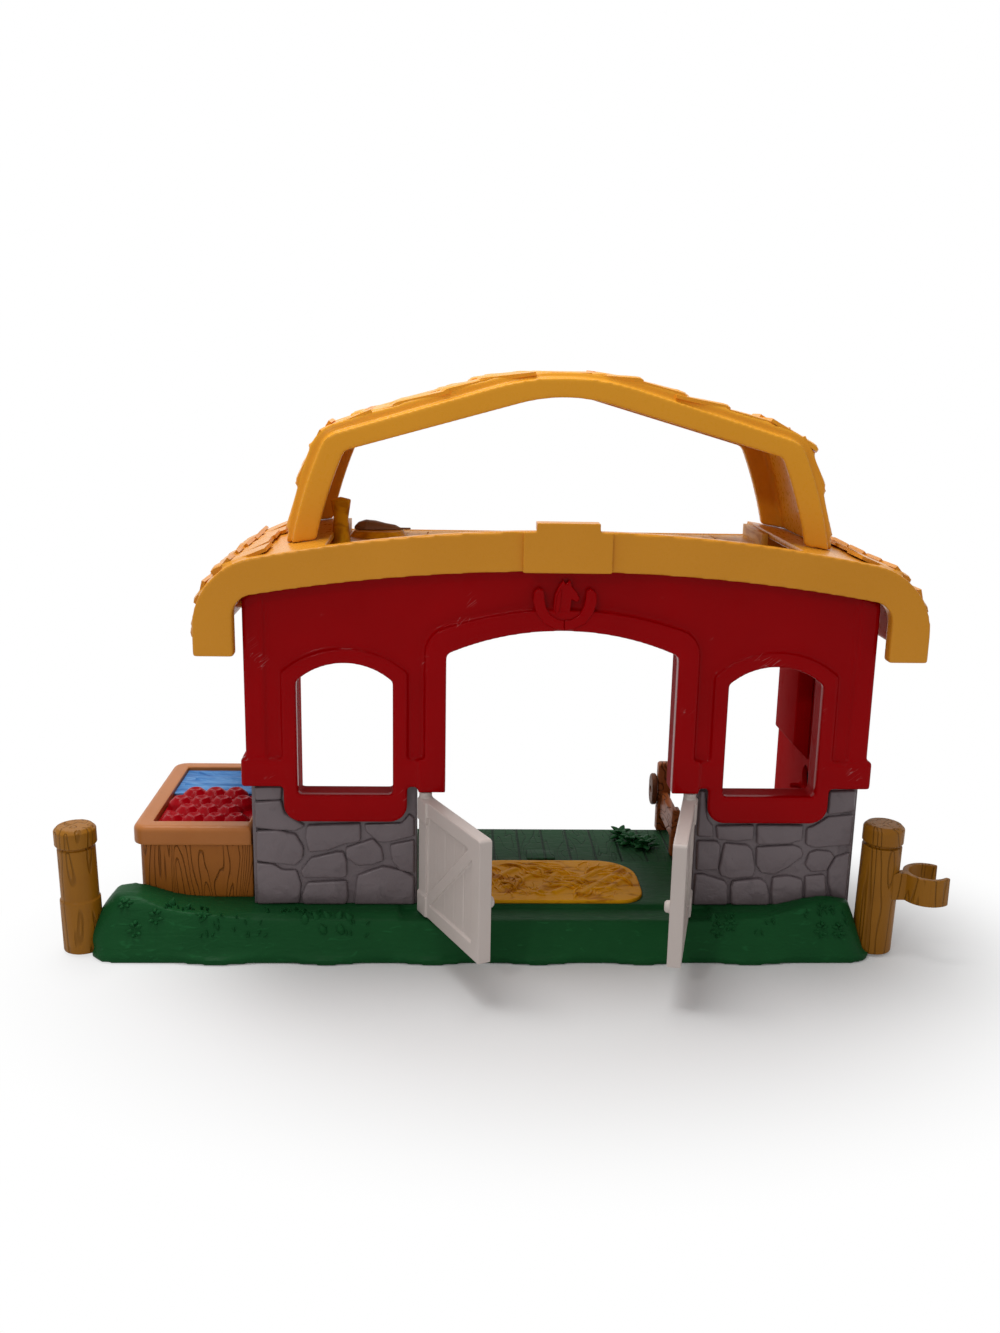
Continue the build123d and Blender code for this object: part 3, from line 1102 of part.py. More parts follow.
def fence_clip():
    """The open ring on the right post, which snaps round another set's post."""
    x, y = clip_centre()
    ring = Circle(CLIP_R + CLIP_STRAP) - Circle(CLIP_R)
    reach = CLIP_R + CLIP_STRAP + 2
    half_mouth = reach * tan(radians(CLIP_MOUTH))
    mouth = make_face(Polyline((0, 0), (reach, half_mouth), (reach, -half_mouth), close=True))
    ring -= mouth
    jaw_x = (CLIP_R + CLIP_STRAP / 2) * cos(radians(CLIP_MOUTH))
    jaw_y = (CLIP_R + CLIP_STRAP / 2) * sin(radians(CLIP_MOUTH))
    ring += Pos(jaw_x, jaw_y) * Circle(CLIP_STRAP / 2) + Pos(jaw_x, -jaw_y) * Circle(CLIP_STRAP / 2)
    clip = level(Pos(x, y) * ring, CLIP_BOTTOM, CLIP_BOTTOM + CLIP_HEIGHT)
    arm = level(
        rectangle(POST_RIGHT_X, x - CLIP_R - CLIP_STRAP / 2, y - CLIP_STRAP, y + CLIP_STRAP),
        CLIP_BOTTOM, CLIP_BOTTOM + CLIP_HEIGHT,
    )
    arm -= log(POST_RIGHT_X, 1, 0, NECK_TOP, POST_R)
    return clip + arm - rod(x, y, 0, NECK_TOP, CLIP_R)


# ---------------------------------------------------------------- inside the barn

def stall_post():
    """The post of the stall fence, at the back of the floor."""
    y = BARN_BACK - STALL_POST
    post = block(STALL_X, STALL_X + STALL_POST, y, y + STALL_POST - 1, FLOOR_Z, STALL_TOP)
    return chamfer(post.edges().group_by(Axis.Z)[-1], 1.0)


def stall_rail():
    """The board of the stall fence, from its post towards the front."""
    y1 = BARN_BACK - STALL_POST
    x0 = STALL_X + 1.5
    x1 = x0 + STALL_RAIL_THICK
    rail = block(x0, x1, STALL_RAIL_FRONT, y1, FLOOR_Z + STALL_RAIL_LOW, FLOOR_Z + STALL_RAIL_HIGH)
    stile_back = STALL_RAIL_FRONT + STALL_STILE_WIDTH
    return rail + block(x0, x1, STALL_RAIL_FRONT, stile_back, FLOOR_Z, FLOOR_Z + STALL_STILE_HIGH)


def rope_coil():
    """A coil of rope that hangs on the stall post."""
    y = BARN_BACK - STALL_POST / 2
    coil = Part()
    for n in range(3):
        ring = extrude(Circle(ROPE_R) - Circle(ROPE_R - ROPE_THICK), ROPE_THICK / 2, both=True)
        place = Pos(STALL_X - ROPE_THICK / 2 - 0.7, y - 0.5, FLOOR_Z + ROPE_RISE - ROPE_DROP * n)
        coil += place * Rot(0, 90, 0) * chamfer(ring.edges(), 0.6)
    return coil - block(STALL_X, STALL_X + CUT, 0, BARN_BACK + CUT, 0, STALL_TOP + CUT)


def feed_chute():
    """The chute on the inside of the right wall, with a sloping foot, down which hay drops from the loft."""
    wall = HALF_WIDTH - RETURN_DEPTH
    face = wall - CHUTE_DEPTH
    side = Polyline(
        (wall, CHUTE_TOP), (face, CHUTE_TOP), (face, CHUTE_FOOT + CHUTE_DEPTH), (wall, CHUTE_FOOT), close=True,
    )
    return upright(make_face(side), CHUTE_Y, CHUTE_Y + CHUTE_WIDTH)


def roof_screw_places():
    """Where screws go up from the side walls into the roof."""
    x = HALF_WIDTH - RETURN_DEPTH / 2
    back = BARN_BACK - ROOF_SCREW_BACK
    return [(-x, ROOF_SCREW_FRONT), (-x, back), (x, ROOF_SCREW_FRONT), (x, back)]


def roof_screws():
    """Screws from the side walls' top returns up into the roof."""
    screws = Part()
    for x, y in roof_screw_places():
        head_top = WALL_TOP - WALL_SKIN - SEAT_GAP
        screws += rod(x, y, head_top - SCREW_HEAD_HEIGHT, head_top, SCREW_HEAD_R)
        screws += rod(x, y, head_top - 1, WALL_TOP + BOSS_HOLE - 2, SCREW_R)
    return screws


# ---------------------------------------------------------------- assembly

def swung(part, side, angle):
    """A closed door turned about its pins; a positive angle opens it outwards."""
    pins = Axis((side * HINGE_X, HINGE_Y, 0), (0, 0, 1))
    return part.rotate(pins, side * angle)


def all_pieces():
    """Every piece by its name."""
    door = left_door_closed()
    wall = stone_wall()
    side = side_wall()
    return {
        "base_shell": base_shell(),
        "hay_patch": hay_patch(),
        "stone_wall_right": wall - feed_slot(LINING_FACE - 1, LINING_FACE + SLOT_DEPTH),
        "stone_wall_left": mirrored(wall),
        "front_wall": front_wall(),
        "side_wall_right": feeding_wall(side),
        "side_wall_left": mirrored(side),
        "horseshoe": horseshoe(),
        "left_door": swung(door, -1, LEFT_OPEN),
        "right_door": swung(mirrored(door), 1, RIGHT_OPEN),
        "roof_shell": roof_shell(),
        "roof_handle": roof_handle(),
        "name_plaque": name_plaque(),
        "loft_floor": loft_floor(),
        "loft_hay": loft_hay(),
        "loft_cat": loft_cat(),
        "loft_sheaf": loft_sheaf(),
        "trough_box": trough_box(),
        "trough_rim": trough_rim(),
        "water_panel": water_panel(),
        "apple_pile": apple_pile(),
        "left_post": left_post(),
        "right_post": right_post(),
        "fence_clip": fence_clip(),
        "stall_post": stall_post(),
        "stall_rail": stall_rail(),
        "rope_coil": rope_coil(),
        "feed_chute": feed_chute(),
        "base_screws": base_screws(),
        "roof_screws": roof_screws(),
    }


for name, piece in all_pieces().items():
    export_step(piece, f"parts/{name}.step")
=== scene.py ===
import math
import bmesh
import bpy
from mathutils import Matrix, Vector


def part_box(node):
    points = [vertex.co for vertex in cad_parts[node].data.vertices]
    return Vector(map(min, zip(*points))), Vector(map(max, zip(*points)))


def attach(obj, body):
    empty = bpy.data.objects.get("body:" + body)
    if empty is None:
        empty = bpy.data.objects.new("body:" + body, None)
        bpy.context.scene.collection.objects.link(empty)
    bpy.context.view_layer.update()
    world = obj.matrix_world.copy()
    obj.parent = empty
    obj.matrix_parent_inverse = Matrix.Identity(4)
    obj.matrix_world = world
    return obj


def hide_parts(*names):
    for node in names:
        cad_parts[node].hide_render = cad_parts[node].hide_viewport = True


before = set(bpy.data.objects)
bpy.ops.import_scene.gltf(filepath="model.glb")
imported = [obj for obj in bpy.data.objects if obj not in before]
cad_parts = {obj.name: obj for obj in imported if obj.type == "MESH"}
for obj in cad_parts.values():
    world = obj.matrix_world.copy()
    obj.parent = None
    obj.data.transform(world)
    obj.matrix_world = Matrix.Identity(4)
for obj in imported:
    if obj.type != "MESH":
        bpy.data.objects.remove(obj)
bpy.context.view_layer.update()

# A toy barn with two doors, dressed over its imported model. Sizes are written in millimetres and
# turned into Blender's metres by the modelling helpers. X runs right, Y back and Z up.
MM = 0.001

# ---- the camera and the room ----
CAMERA_PLACE = (-49.7, -533.4, 262.7)
CAMERA_TURN = 2.38      # degrees to the right
CAMERA_TILT = 13.5      # degrees down
CAMERA_ROLL = 1.09
CAMERA_LENS = 33.585
SKY_FILL = 0.5          # how much the white room lights the barn from all round
KEY_POWER = 10.0        # watts of the main lamp
KEY_PLACE = (-260, 160, 1150)
KEY_SIZE = 0.6
FRONT_POWER = 1.4       # watts of a small lamp in front, for the highlights
FRONT_PLACE = (-500, -1000, 700)
FRONT_SIZE = 0.06
FLOOR_GREY = 0.7
FLOOR_GLOW = 0.02       # how white the floor is by itself near the barn, where it keeps the shadow


# ---------------------------------------------------------------- shader maths

def linear(code):
    """A colour written as six hex digits, in linear light."""
    parts = [int(code[k:k + 2], 16) / 255 for k in (0, 2, 4)]
    return tuple(c / 12.92 if c <= 0.04045 else ((c + 0.055) / 1.055) ** 2.4 for c in parts)


class Link:
    """One node's output, which Python's own arithmetic works on."""

    def __init__(self, finish, socket):
        self.finish = finish
        self.socket = socket

    def _maths(self, operation, first, second=0.0):
        return self.finish.node("Math", {"operation": operation}, {0: first, 1: second})

    def __add__(self, other):
        return self._maths("ADD", self, other)

    def __sub__(self, other):
        return self._maths("SUBTRACT", self, other)

    def __mul__(self, other):
        return self._maths("MULTIPLY", self, other)

    def __rsub__(self, other):
        return self._maths("SUBTRACT", other, self)

    def __abs__(self):
        return self._maths("ABSOLUTE", self)

    __radd__ = __add__
    __rmul__ = __mul__


class Finish:
    """A material under construction, with its Principled shader."""

    def __init__(self, name, **constants):
        self.material = bpy.data.materials.new(name)
        self.material.use_nodes = True
        self.tree = self.material.node_tree
        self.shader = self.tree.nodes["Principled BSDF"]
        for socket, value in constants.items():
            self.shader.inputs[socket.replace("_", " ")].default_value = value

    def node(self, kind, settings=None, values=None, output=0):
        """Adds a node, sets it up, gives its sockets their values or links, and returns one output."""
        made = self.tree.nodes.new("ShaderNode" + kind)
        for setting, value in (settings or {}).items():
            if setting == "stops":
                ramp = made.color_ramp
                for place, colour in value[2:]:
                    ramp.elements.new(place)
                for element, (place, colour) in zip(ramp.elements, value):
                    element.position = place
                    element.color = (*colour, 1) if isinstance(colour, tuple) else (colour,) * 3 + (1,)
            else:
                setattr(made, setting, value)
        for socket, value in (values or {}).items():
            self.feed(made.inputs[socket], value)
        return Link(self, made.outputs[output]) if made.outputs else None

    def feed(self, socket, value):
        """Gives a socket a link or a constant."""
        if isinstance(value, Link):
            self.tree.links.new(value.socket, socket)
        elif isinstance(value, tuple) and len(value) == 3 and socket.type == "RGBA":
            socket.default_value = (*value, 1)
        else:
            socket.default_value = value

    def places(self, stretch=(1, 1, 1), turn=(0, 0, 0)):
        """Where a point lies on the object, in millimetres, turned and then stretched."""
        coordinates = self.node("TexCoord", output="Object")
        turned = self.node("Mapping", {"vector_type": "POINT"}, {
            "Vector": coordinates, "Rotation": tuple(math.radians(a) for a in turn)})
        scale = tuple(s / MM for s in stretch)
        return self.node("VectorMath", {"operation": "MULTIPLY"}, {0: turned, 1: scale})

    def along(self, axis):
        """One coordinate of the object, in millimetres."""
        split = self.node("SeparateXYZ", {}, {0: self.node("TexCoord", output="Object")}, output=axis)
        return split * (1 / MM)

    def noise(self, size, detail=3.0, stretch=(1, 1, 1), turn=(0, 0, 0), distortion=0.0):
        """Even noise from 0 to 1, with spots about size millimetres across."""
        return self.node("TexNoise", {}, {
            "Vector": self.places(stretch, turn), "Scale": 1 / size, "Detail": detail,
            "Distortion": distortion}, output=0)

    def mix(self, share, first, second):
        """A blend of two colours."""
        return self.node("Mix", {"data_type": "RGBA"}, {0: share, 6: first, 7: second}, output=2)

    def ramp(self, value, *stops):
        """A smooth curve through greys or colours."""
        return self.node("ValToRGB", {"stops": stops}, {0: value})

    def stepped(self, value, low, high):
        """A smooth step from 0 at low to 1 at high."""
        return self.node("MapRange", {"interpolation_type": "SMOOTHSTEP"}, {
            0: value, 1: low, 2: high, 3: 0.0, 4: 1.0})

    def bumps(self, height, depth, before=None):
        """A bump from a height of 0 to 1, depth millimetres deep."""
        values = {"Height": height, "Distance": depth * MM, "Strength": 1.0}
        if before is not None:
            values["Normal"] = before
        return self.node("Bump", {}, values)

    def done(self, **links):
        """Feeds the shader and returns the material."""
        for socket, value in links.items():
            self.feed(self.shader.inputs[socket.replace("_", " ")], value)
        return self.material


# ---------------------------------------------------------------- materials

def moulded(name, dark, light, roughness, shine=0.25, scratched=0.0):
    """Injection-moulded plastic: a slight mottle, fine pitting and dull scuffed patches. A scratched one has
    pale scratches as well, and is duller behind the front of the barn."""
    finish = Finish(name, Specular_IOR_Level=shine)
    mottle = finish.noise(38, 4)
    scuffs = finish.stepped(finish.noise(9, 6, distortion=1.2), 0.56, 0.74)
    colour = finish.mix(mottle, linear(dark), linear(light))
    rough = roughness + scuffs * 0.12 + (finish.noise(2.2, 3) - 0.5) * 0.08
    waves = finish.bumps(finish.noise(26, 2), 0.16)
    normal = finish.bumps(finish.noise(1.1, 4), 0.025, waves)
    if scratched:
        lines = finish.noise(5, 2, stretch=(0.22, 0.22, 2.2), turn=(0, 38, 0)) - 0.5
        thin = 1 - finish.stepped(abs(lines), 0.0, 0.012)
        worn = thin * finish.stepped(finish.noise(16, 2), 0.63, 0.7)
        pale = tuple(0.55 * c + 0.28 for c in linear(light))
        colour = finish.mix(worn * scratched, colour, pale)
        behind = finish.stepped(finish.along(1), 0.5, 2.5)
        rough = rough + worn * 0.2 + behind * 0.5
    return finish.done(Base_Color=colour, Roughness=rough, Normal=normal)


def straw_moulded(name, dark, light, roughness, stretch, depth=0.6, shine=0.2):
    """Moulded plastic combed with straw along one direction."""
    finish = Finish(name, Specular_IOR_Level=shine)
    combed = finish.noise(7, 6, stretch=stretch, distortion=0.6)
    hollows = finish.stepped(combed, 0.32, 0.5)
    colour = finish.mix(hollows, linear(dark), linear(light))
    rough = roughness + (1 - hollows) * 0.12
    pits = finish.bumps(finish.noise(1.0, 4), 0.03, finish.bumps(combed, depth))
    return finish.done(Base_Color=colour, Roughness=rough, Normal=pits)


def stone_finish():
    """Purple-grey plastic stone, with soft dents and darker hollows."""
    finish = Finish("grey_stone_plastic", Specular_IOR_Level=0.35)
    patches = finish.noise(24, 3)
    dents = finish.noise(8, 4, distortion=0.4)
    colour = finish.mix(patches, linear("5D5255"), linear("73676A"))
    colour = finish.mix(finish.stepped(dents, 0.6, 0.74) * 0.35, colour, linear("463D40"))
    rough = 0.24 + finish.noise(3, 3) * 0.14
    bump = finish.bumps(finish.noise(1.3, 3), 0.03, finish.bumps(dents, 0.9))
    return finish.done(Base_Color=colour, Roughness=rough, Normal=bump)


def wood_grain(name, dark, light, roughness, stretch, size=11.0, rings=30.0, depth=0.5, strong=0.75):
    """Moulded wood: grain lines that loop round one another, darker where the grain is cut in."""
    finish = Finish(name, Specular_IOR_Level=0.2)
    flow = finish.noise(size, 1.5, stretch=stretch, distortion=0.25)
    lines = abs(finish.node("Math", {"operation": "SINE"}, {0: flow * rings}))
    cut = 1 - finish.stepped(lines, 0.04, 0.34)
    fine = finish.noise(1.6, 3, stretch=tuple(c * (1 if c == 1 else 0.5) for c in stretch))
    colour = finish.mix(finish.noise(20, 3), linear(dark), linear(light))
    colour = finish.mix(finish.stepped(fine, 0.55, 0.7) * 0.25, colour, linear(dark))
    colour = finish.mix(cut * strong, colour, tuple(c * 0.3 for c in linear(dark)))
    rough = roughness + cut * 0.15 + finish.noise(2, 3) * 0.08
    bump = finish.bumps(fine, 0.06, finish.bumps(1 - cut, depth))
    return finish.done(Base_Color=colour, Roughness=rough, Normal=bump)


def grass_finish():
    """Dark green plastic: short strokes combed along its banks, and grained boards on the floor."""
    finish = Finish("grass_green_plastic", Specular_IOR_Level=0.05)
    strokes = finish.noise(2.6, 5, stretch=(0.3, 1, 1), distortion=0.8)
    blades = finish.stepped(strokes, 0.6, 0.72)
    patches = finish.noise(30, 4)
    x, y, z = (finish.along(axis) for axis in (0, 1, 2))
    seams = abs(finish.node("Math", {"operation": "PINGPONG"}, {0: x, 1: PLANK / 2}))
    beside = finish.stepped(abs(x), 126, 127)
    above = finish.stepped(z, 20.6, 21)
    inside = finish.stepped(y, 54, 56) * (1 - beside) * (1 - above)
    seam = (1 - finish.stepped(seams, 0.25, 0.8)) * inside
    flow = finish.noise(9, 1.5, stretch=(1, 0.22, 1))
    rings = abs(finish.node("Math", {"operation": "SINE"}, {0: flow * 26.0}))
    cut = (1 - finish.stepped(rings, 0.03, 0.26)) * inside
    colour = finish.mix(patches, linear("103B1D"), linear("1A5029"))
    colour = finish.mix(blades * 0.25, colour, linear("2A7040"))
    colour = finish.mix(inside * 0.6, colour, linear("24402B"))
    carved = finish.node("Math", {"operation": "MAXIMUM"}, {0: seam, 1: cut * 0.6})
    colour = finish.mix(carved * 0.8, colour, linear("0A1C10"))
    rough = 0.34 + finish.noise(5, 4) * 0.16 + inside * 0.1
    combed = finish.bumps(strokes, 0.3, finish.bumps(1 - carved, 0.5))
    bump = finish.bumps(finish.noise(1.2, 3), 0.03, combed)
    return finish.done(Base_Color=colour, Roughness=rough, Normal=bump)


def water_finish():
    """Light blue moulded water with brushed streaks."""
    finish = Finish("water_blue_plastic", Specular_IOR_Level=0.08)
    streaks = finish.noise(5, 5, stretch=(0.25, 1, 1), turn=(0, 0, 14), distortion=1.5)
    colour = finish.ramp(streaks, (0.3, linear("265490")), (0.5, linear("4076B0")), (0.7, linear("6698CA")))
    rough = 0.26 + finish.noise(4, 3) * 0.14
    return finish.done(Base_Color=colour, Roughness=rough, Normal=finish.bumps(streaks, 0.7))


def steel_finish():
    """Zinc-plated screw steel with turning marks."""
    finish = Finish("zinc_steel", Metallic=1.0)
    marks = finish.noise(1.2, 5, stretch=(1, 1, 6))
    colour = finish.mix(marks, linear("A8A9AC"), linear("D3D3D0"))
    return finish.done(Base_Color=colour, Roughness=0.3 + marks * 0.2, Normal=finish.bumps(marks, 0.02))


def make_materials():
    """Every finish of the barn by its slot's name."""
    return {
        "green_plastic": grass_finish(),
        "hay_plastic": straw_moulded("hay_gold_plastic", "B47006", "E09E10", 0.4, (0.5, 1, 1), 0.6, 0.05),
        "stone_plastic": stone_finish(),
        "red_plastic": moulded("barn_red_plastic", "880003", "A00006", 0.15, 0.05, scratched=0.3),
        # The side walls and the chute get a lighter, duller copy of the barn red: the lighter colour is
        # painted light on the inner walls.
        "red_inside": moulded("barn_red_inside_painted_light_plastic", "A00509", "B80A0F", 0.6, 0.01),
        "door_plastic": moulded("door_white_plastic", "BAAEA8", "C6BBB5", 0.38, 0.2),
        "straw_plastic": moulded("straw_orange_plastic", "E09826", "EAA22E", 0.28, 0.12),
        # The lower roof's straw is a darker copy of the straw orange: painted shade, for a band that faces
        # down.
        "roof_straw_painted_shade": moulded("roof_straw_painted_shade_plastic", "CA8622", "D6902A", 0.28, 0.14),
        "loft_plastic": straw_moulded("loft_straw_plastic", "A8691A", "CF9330", 0.42, (1, 0.3, 1)),
        "cat_plastic": moulded("cat_brown_plastic", "7A583C", "96714E", 0.45, 0.2),
        "trough_plastic": moulded("trough_brown_plastic", "9C5A24", "B5733C", 0.36, 0.2),
        "water_plastic": water_finish(),
        "apple_plastic": moulded("apple_red_plastic", "80000A", "A40614", 0.2, 0.06),
        "log_plastic": wood_grain("log_brown_plastic", "825004", "986410", 0.4, (1, 1, 0.12),
                                  9, 22, 0.4, 0.35),
        "stall_plastic": wood_grain("stall_brown_plastic", "7A3D16", "9A5426", 0.42, (1, 0.2, 1)),
        "rope_plastic": moulded("rope_brown_plastic", "4A2713", "6B3D20", 0.5, 0.2),
        "screw_steel": steel_finish(),
        "trough_planks": wood_grain("trough_plank_plastic", "8C4E16", "A4621F", 0.4, (1, 1, 0.16),
                                    12, 62, 0.5, 0.6),
    }


# ---------------------------------------------------------------- modelling helpers

def pick(*pieces):
    """Selects these pieces and nothing else, the first one active."""
    bpy.ops.object.select_all(action="DESELECT")
    for piece in pieces:
        piece.select_set(True)
    bpy.context.view_layer.objects.active = pieces[0]
    return pieces[0]


def enter(piece, kind="FACE"):
    """Opens a piece in edit mode with nothing selected."""
    pick(piece)
    bpy.ops.object.mode_set(mode="EDIT")
    bpy.ops.mesh.select_mode(type=kind)
    bpy.ops.mesh.select_all(action="DESELECT")
    return bmesh.from_edit_mesh(piece.data)


def leave():
    """Back to object mode."""
    bpy.ops.object.mode_set(mode="OBJECT")


def mark(piece, cells, test):
    """Selects the vertices, edges or faces whose middle in millimetres passes a test."""
    mesh = bmesh.from_edit_mesh(piece.data)
    for cell in getattr(mesh, cells):
        if cells == "verts":
            middle = cell.co
        elif cells == "edges":
            middle = (cell.verts[0].co + cell.verts[1].co) / 2
        else:
            middle = cell.calc_center_median()
        if test(middle / MM, cell):
            cell.select_set(True)
    mesh.select_flush_mode()
    bmesh.update_edit_mesh(piece.data)


def settle(piece, name):
    """Names a new primitive and puts its place, turn and size into its mesh."""
    piece.name = name
    piece.data.name = name
    pick(piece)
    bpy.ops.object.transform_apply(location=True, rotation=True, scale=True)
    return piece


def round_off(piece, width, segments=3, angle=35):
    """Rounds a piece's sharp edges with an applied bevel."""
    pick(piece)
    bevel = piece.modifiers.new("edges", "BEVEL")
    bevel.width = width * MM
    bevel.segments = segments
    bevel.limit_method = "ANGLE"
    bevel.angle_limit = math.radians(angle)
    bevel.use_clamp_overlap = True
    bpy.ops.object.modifier_apply(modifier=bevel.name)
    return piece


def smooth(piece, angle=40):
    """Shades a piece smooth where its faces meet at less than an angle."""
    pick(piece)
    bpy.ops.object.shade_smooth_by_angle(angle=math.radians(angle))
    return piece


def joined(pieces, name):
    """Several meshes as one."""
    pick(*pieces)
    bpy.ops.object.join()
    pieces[0].name = name
    pieces[0].data.name = name
    return pieces[0]


def slab(name, x, y, z, edge=0.6, segments=3):
    """A block between its limits, with rounded edges."""
    bpy.ops.object.select_all(action="DESELECT")
    middle = [(a + b) / 2 * MM for a, b in (x, y, z)]
    size = [(b - a) * MM for a, b in (x, y, z)]
    bpy.ops.mesh.primitive_cube_add(size=1, location=middle, scale=size)
    piece = settle(bpy.context.object, name)
    return round_off(piece, edge, segments)


def traced(node, name, edge=0.5, segments=2, angle=30):
    """A CAD piece's own shape with its triangles joined, its flats made whole and its edges rounded."""
    piece = bpy.data.objects.new(name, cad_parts[node].data.copy())
    bpy.context.scene.collection.objects.link(piece)
    piece.data.materials.clear()
    enter(piece)
    bpy.ops.mesh.select_all(action="SELECT")
    bpy.ops.mesh.remove_doubles(threshold=0.002 * MM)
    bpy.ops.mesh.dissolve_limited(angle_limit=math.radians(0.6))
    leave()
    if piece.data.has_custom_normals:
        bpy.ops.mesh.customdata_custom_splitnormals_clear()
    if edge:
        round_off(piece, edge, segments, angle)
    return piece


def cast(node, name, grain=0.8, passes=3, keep=0.3):
    """A CAD piece's own shape as it comes out of a mould, with every edge a little rounded. The grain is
    the size of the smallest detail that it keeps, in millimetres."""
    piece = traced(node, name, 0)
    pick(piece)
    skin = piece.modifiers.new("skin", "REMESH")
    skin.mode = "VOXEL"
    skin.voxel_size = grain * MM
    bpy.ops.object.modifier_apply(modifier=skin.name)
    relax = piece.modifiers.new("relax", "SMOOTH")
    relax.factor = 0.5
    relax.iterations = passes
    bpy.ops.object.modifier_apply(modifier=relax.name)
    fewer = piece.modifiers.new("fewer", "DECIMATE")
    fewer.ratio = keep
    bpy.ops.object.modifier_apply(modifier=fewer.name)
    return piece


def dress(piece, slot, body="barn", nodes=(), material=None, angle=40):
    """Gives a finished piece its finish and its body, and hides the CAD nodes that it stands for."""
    smooth(piece, angle)
    piece.data.materials.clear()
    piece.data.materials.append(MATERIALS[material or slot])
    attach(piece, body)
    if nodes:
        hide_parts(*nodes)
    return piece


def waver(n, size=1.0):
    """A repeatable uneven number between -size and size."""
    return size * math.sin(12.9898 * n + 4.1 * n * n)


# ---------------------------------------------------------------- stone

# Outlines of the hand-laid stones on the fronts of the two walls, as (X, Z)
LEFT_STONES = (
    ((-136.5, 76.5), (-125, 77), (-125.5, 71.5), (-136.5, 71)),
    ((-137, 69.5), (-125.5, 70.5), (-124.5, 64.5), (-115, 59), (-119.5, 56.5), (-128.5, 57), (-137, 58)),
    ((-136.5, 55.5), (-127, 56), (-119.5, 54), (-116, 47.5), (-116.5, 43), (-120, 39.5),
     (-131.5, 41), (-137, 42)),
    ((-137, 40), (-129.5, 39.5), (-126, 36.5), (-119.5, 36.5), (-117.5, 30.5), (-118.5, 21), (-137, 20.5)),
    ((-113.5, 58.5), (-90, 59.5), (-90, 51.5), (-97.5, 50), (-104, 47), (-113, 46), (-114.5, 53)),
    ((-112, 42.5), (-101, 45.5), (-98, 45.5), (-96.5, 41), (-96.5, 34.5),
     (-98.5, 33.5), (-115.5, 33.5), (-117, 37)),
    ((-114, 30.5), (-96.5, 31.5), (-96, 25), (-97, 20.5), (-116, 20.5), (-116.5, 25)),
    ((-96, 47.5), (-84.5, 52), (-80.5, 47.5), (-79.5, 42), (-84.5, 40), (-91, 39.5), (-96, 43.5)),
    ((-87.5, 59), (-71.5, 59.5), (-68, 64), (-65.5, 62), (-65.5, 54), (-76.5, 51), (-81, 51), (-87, 56.5)),
    ((-76, 49), (-65.5, 51.5), (-65.5, 35.5), (-71.5, 37.5), (-75, 42)),
    ((-91, 34), (-79, 38.5), (-71.5, 36.5), (-65.5, 33.5), (-65.5, 20.5), (-92.5, 20.5)),
)
RIGHT_STONES = (
    ((65.5, 76), (68.5, 76), (69, 63.5), (72, 59.5), (72, 54), (65.5, 54.5)),
    ((74, 59), (91, 59.5), (91, 53), (83, 52), (75, 53)),
    ((93, 59.5), (114, 59.5), (114, 53), (107.5, 51), (93.5, 50.5)),
    ((116.5, 58), (120, 59), (125, 63.5), (137, 64.5), (137, 50.5), (121, 49), (116.5, 50.5)),
    ((125.5, 76), (137, 76.5), (137, 67), (125.5, 65.5)),
    ((65.5, 51.5), (74, 51.5), (76, 49.5), (75.5, 38), (66, 37.5)),
    ((78.5, 50.5), (88.5, 49.5), (91, 47), (93, 38), (92, 34.5), (82.5, 33.5), (77.5, 35), (76.5, 39)),
    ((93.5, 48.5), (110, 49.5), (114, 48), (115, 44), (108, 39), (102.5, 35.5), (96.5, 36.5), (94, 40.5)),
    ((118.5, 45.5), (122, 47), (127.5, 46.5), (130, 44), (126.5, 37.5), (120, 37), (117, 40.5)),
    ((128, 37), (131, 43.5), (137, 46), (137, 22.5), (131.5, 22.5), (128.5, 31.5)),
    ((65.5, 35), (69.5, 35), (79, 31.5), (80.5, 29), (81, 20.5), (65.5, 20.5)),
    ((83.5, 31.5), (95, 33), (98.5, 31), (100.5, 25.5), (100.5, 20.5), (83.5, 20.5), (82.5, 28.5)),
    ((102, 33.5), (108.5, 34.5), (115.5, 32.5), (116.5, 20.5), (103, 20.5), (102, 26.5)),
    ((117.5, 34), (126, 35), (127.5, 26), (126.5, 20.5), (118.5, 20.5)),
)
PLANK = 13.0            # width of the floor's boards
STONE_BACK = 4.4        # how deep the stones are rooted
STONE_FACE = 2.0        # where their faces stand
MORTAR = 3.7            # where the wall stands between them
WALL_FOOT = 20.0        # of the stone walls, on the base
WALL_TOP = 78.4
NOTCH_INNER = 72.0      # the window's frame hangs in a notch between these, down to NOTCH_FOOT
NOTCH_OUTER = 120.0
NOTCH_FOOT = 72.0
WALL_INNER = 64.0
FLANK_INNER = 131.2
FLANK_BACK = 106.0


def slate(name, outline, back, face, turn=None, edge=0.9):
    """One stone: its outline as a polygon, pulled out to its face and rounded like a pebble."""
    bpy.ops.object.select_all(action="DESELECT")
    bpy.ops.mesh.primitive_circle_add(vertices=len(outline), radius=MM, fill_type="NGON")
    stone = settle(bpy.context.object, name)
    mesh = enter(stone)
    mesh.verts.ensure_lookup_table()
    for corner, (across, up) in zip(mesh.verts, outline):
        corner.co = Vector((across, back, up)) * MM
    bpy.ops.mesh.select_all(action="SELECT")
    bpy.ops.mesh.extrude_region_move(TRANSFORM_OT_translate={"value": (0, (face - back) * MM, 0)})
    bpy.ops.mesh.select_all(action="SELECT")
    bpy.ops.mesh.normals_make_consistent(inside=False)
    leave()
    if turn:
        stone.data.transform(turn)
    return round_off(stone, edge, 4, 20)


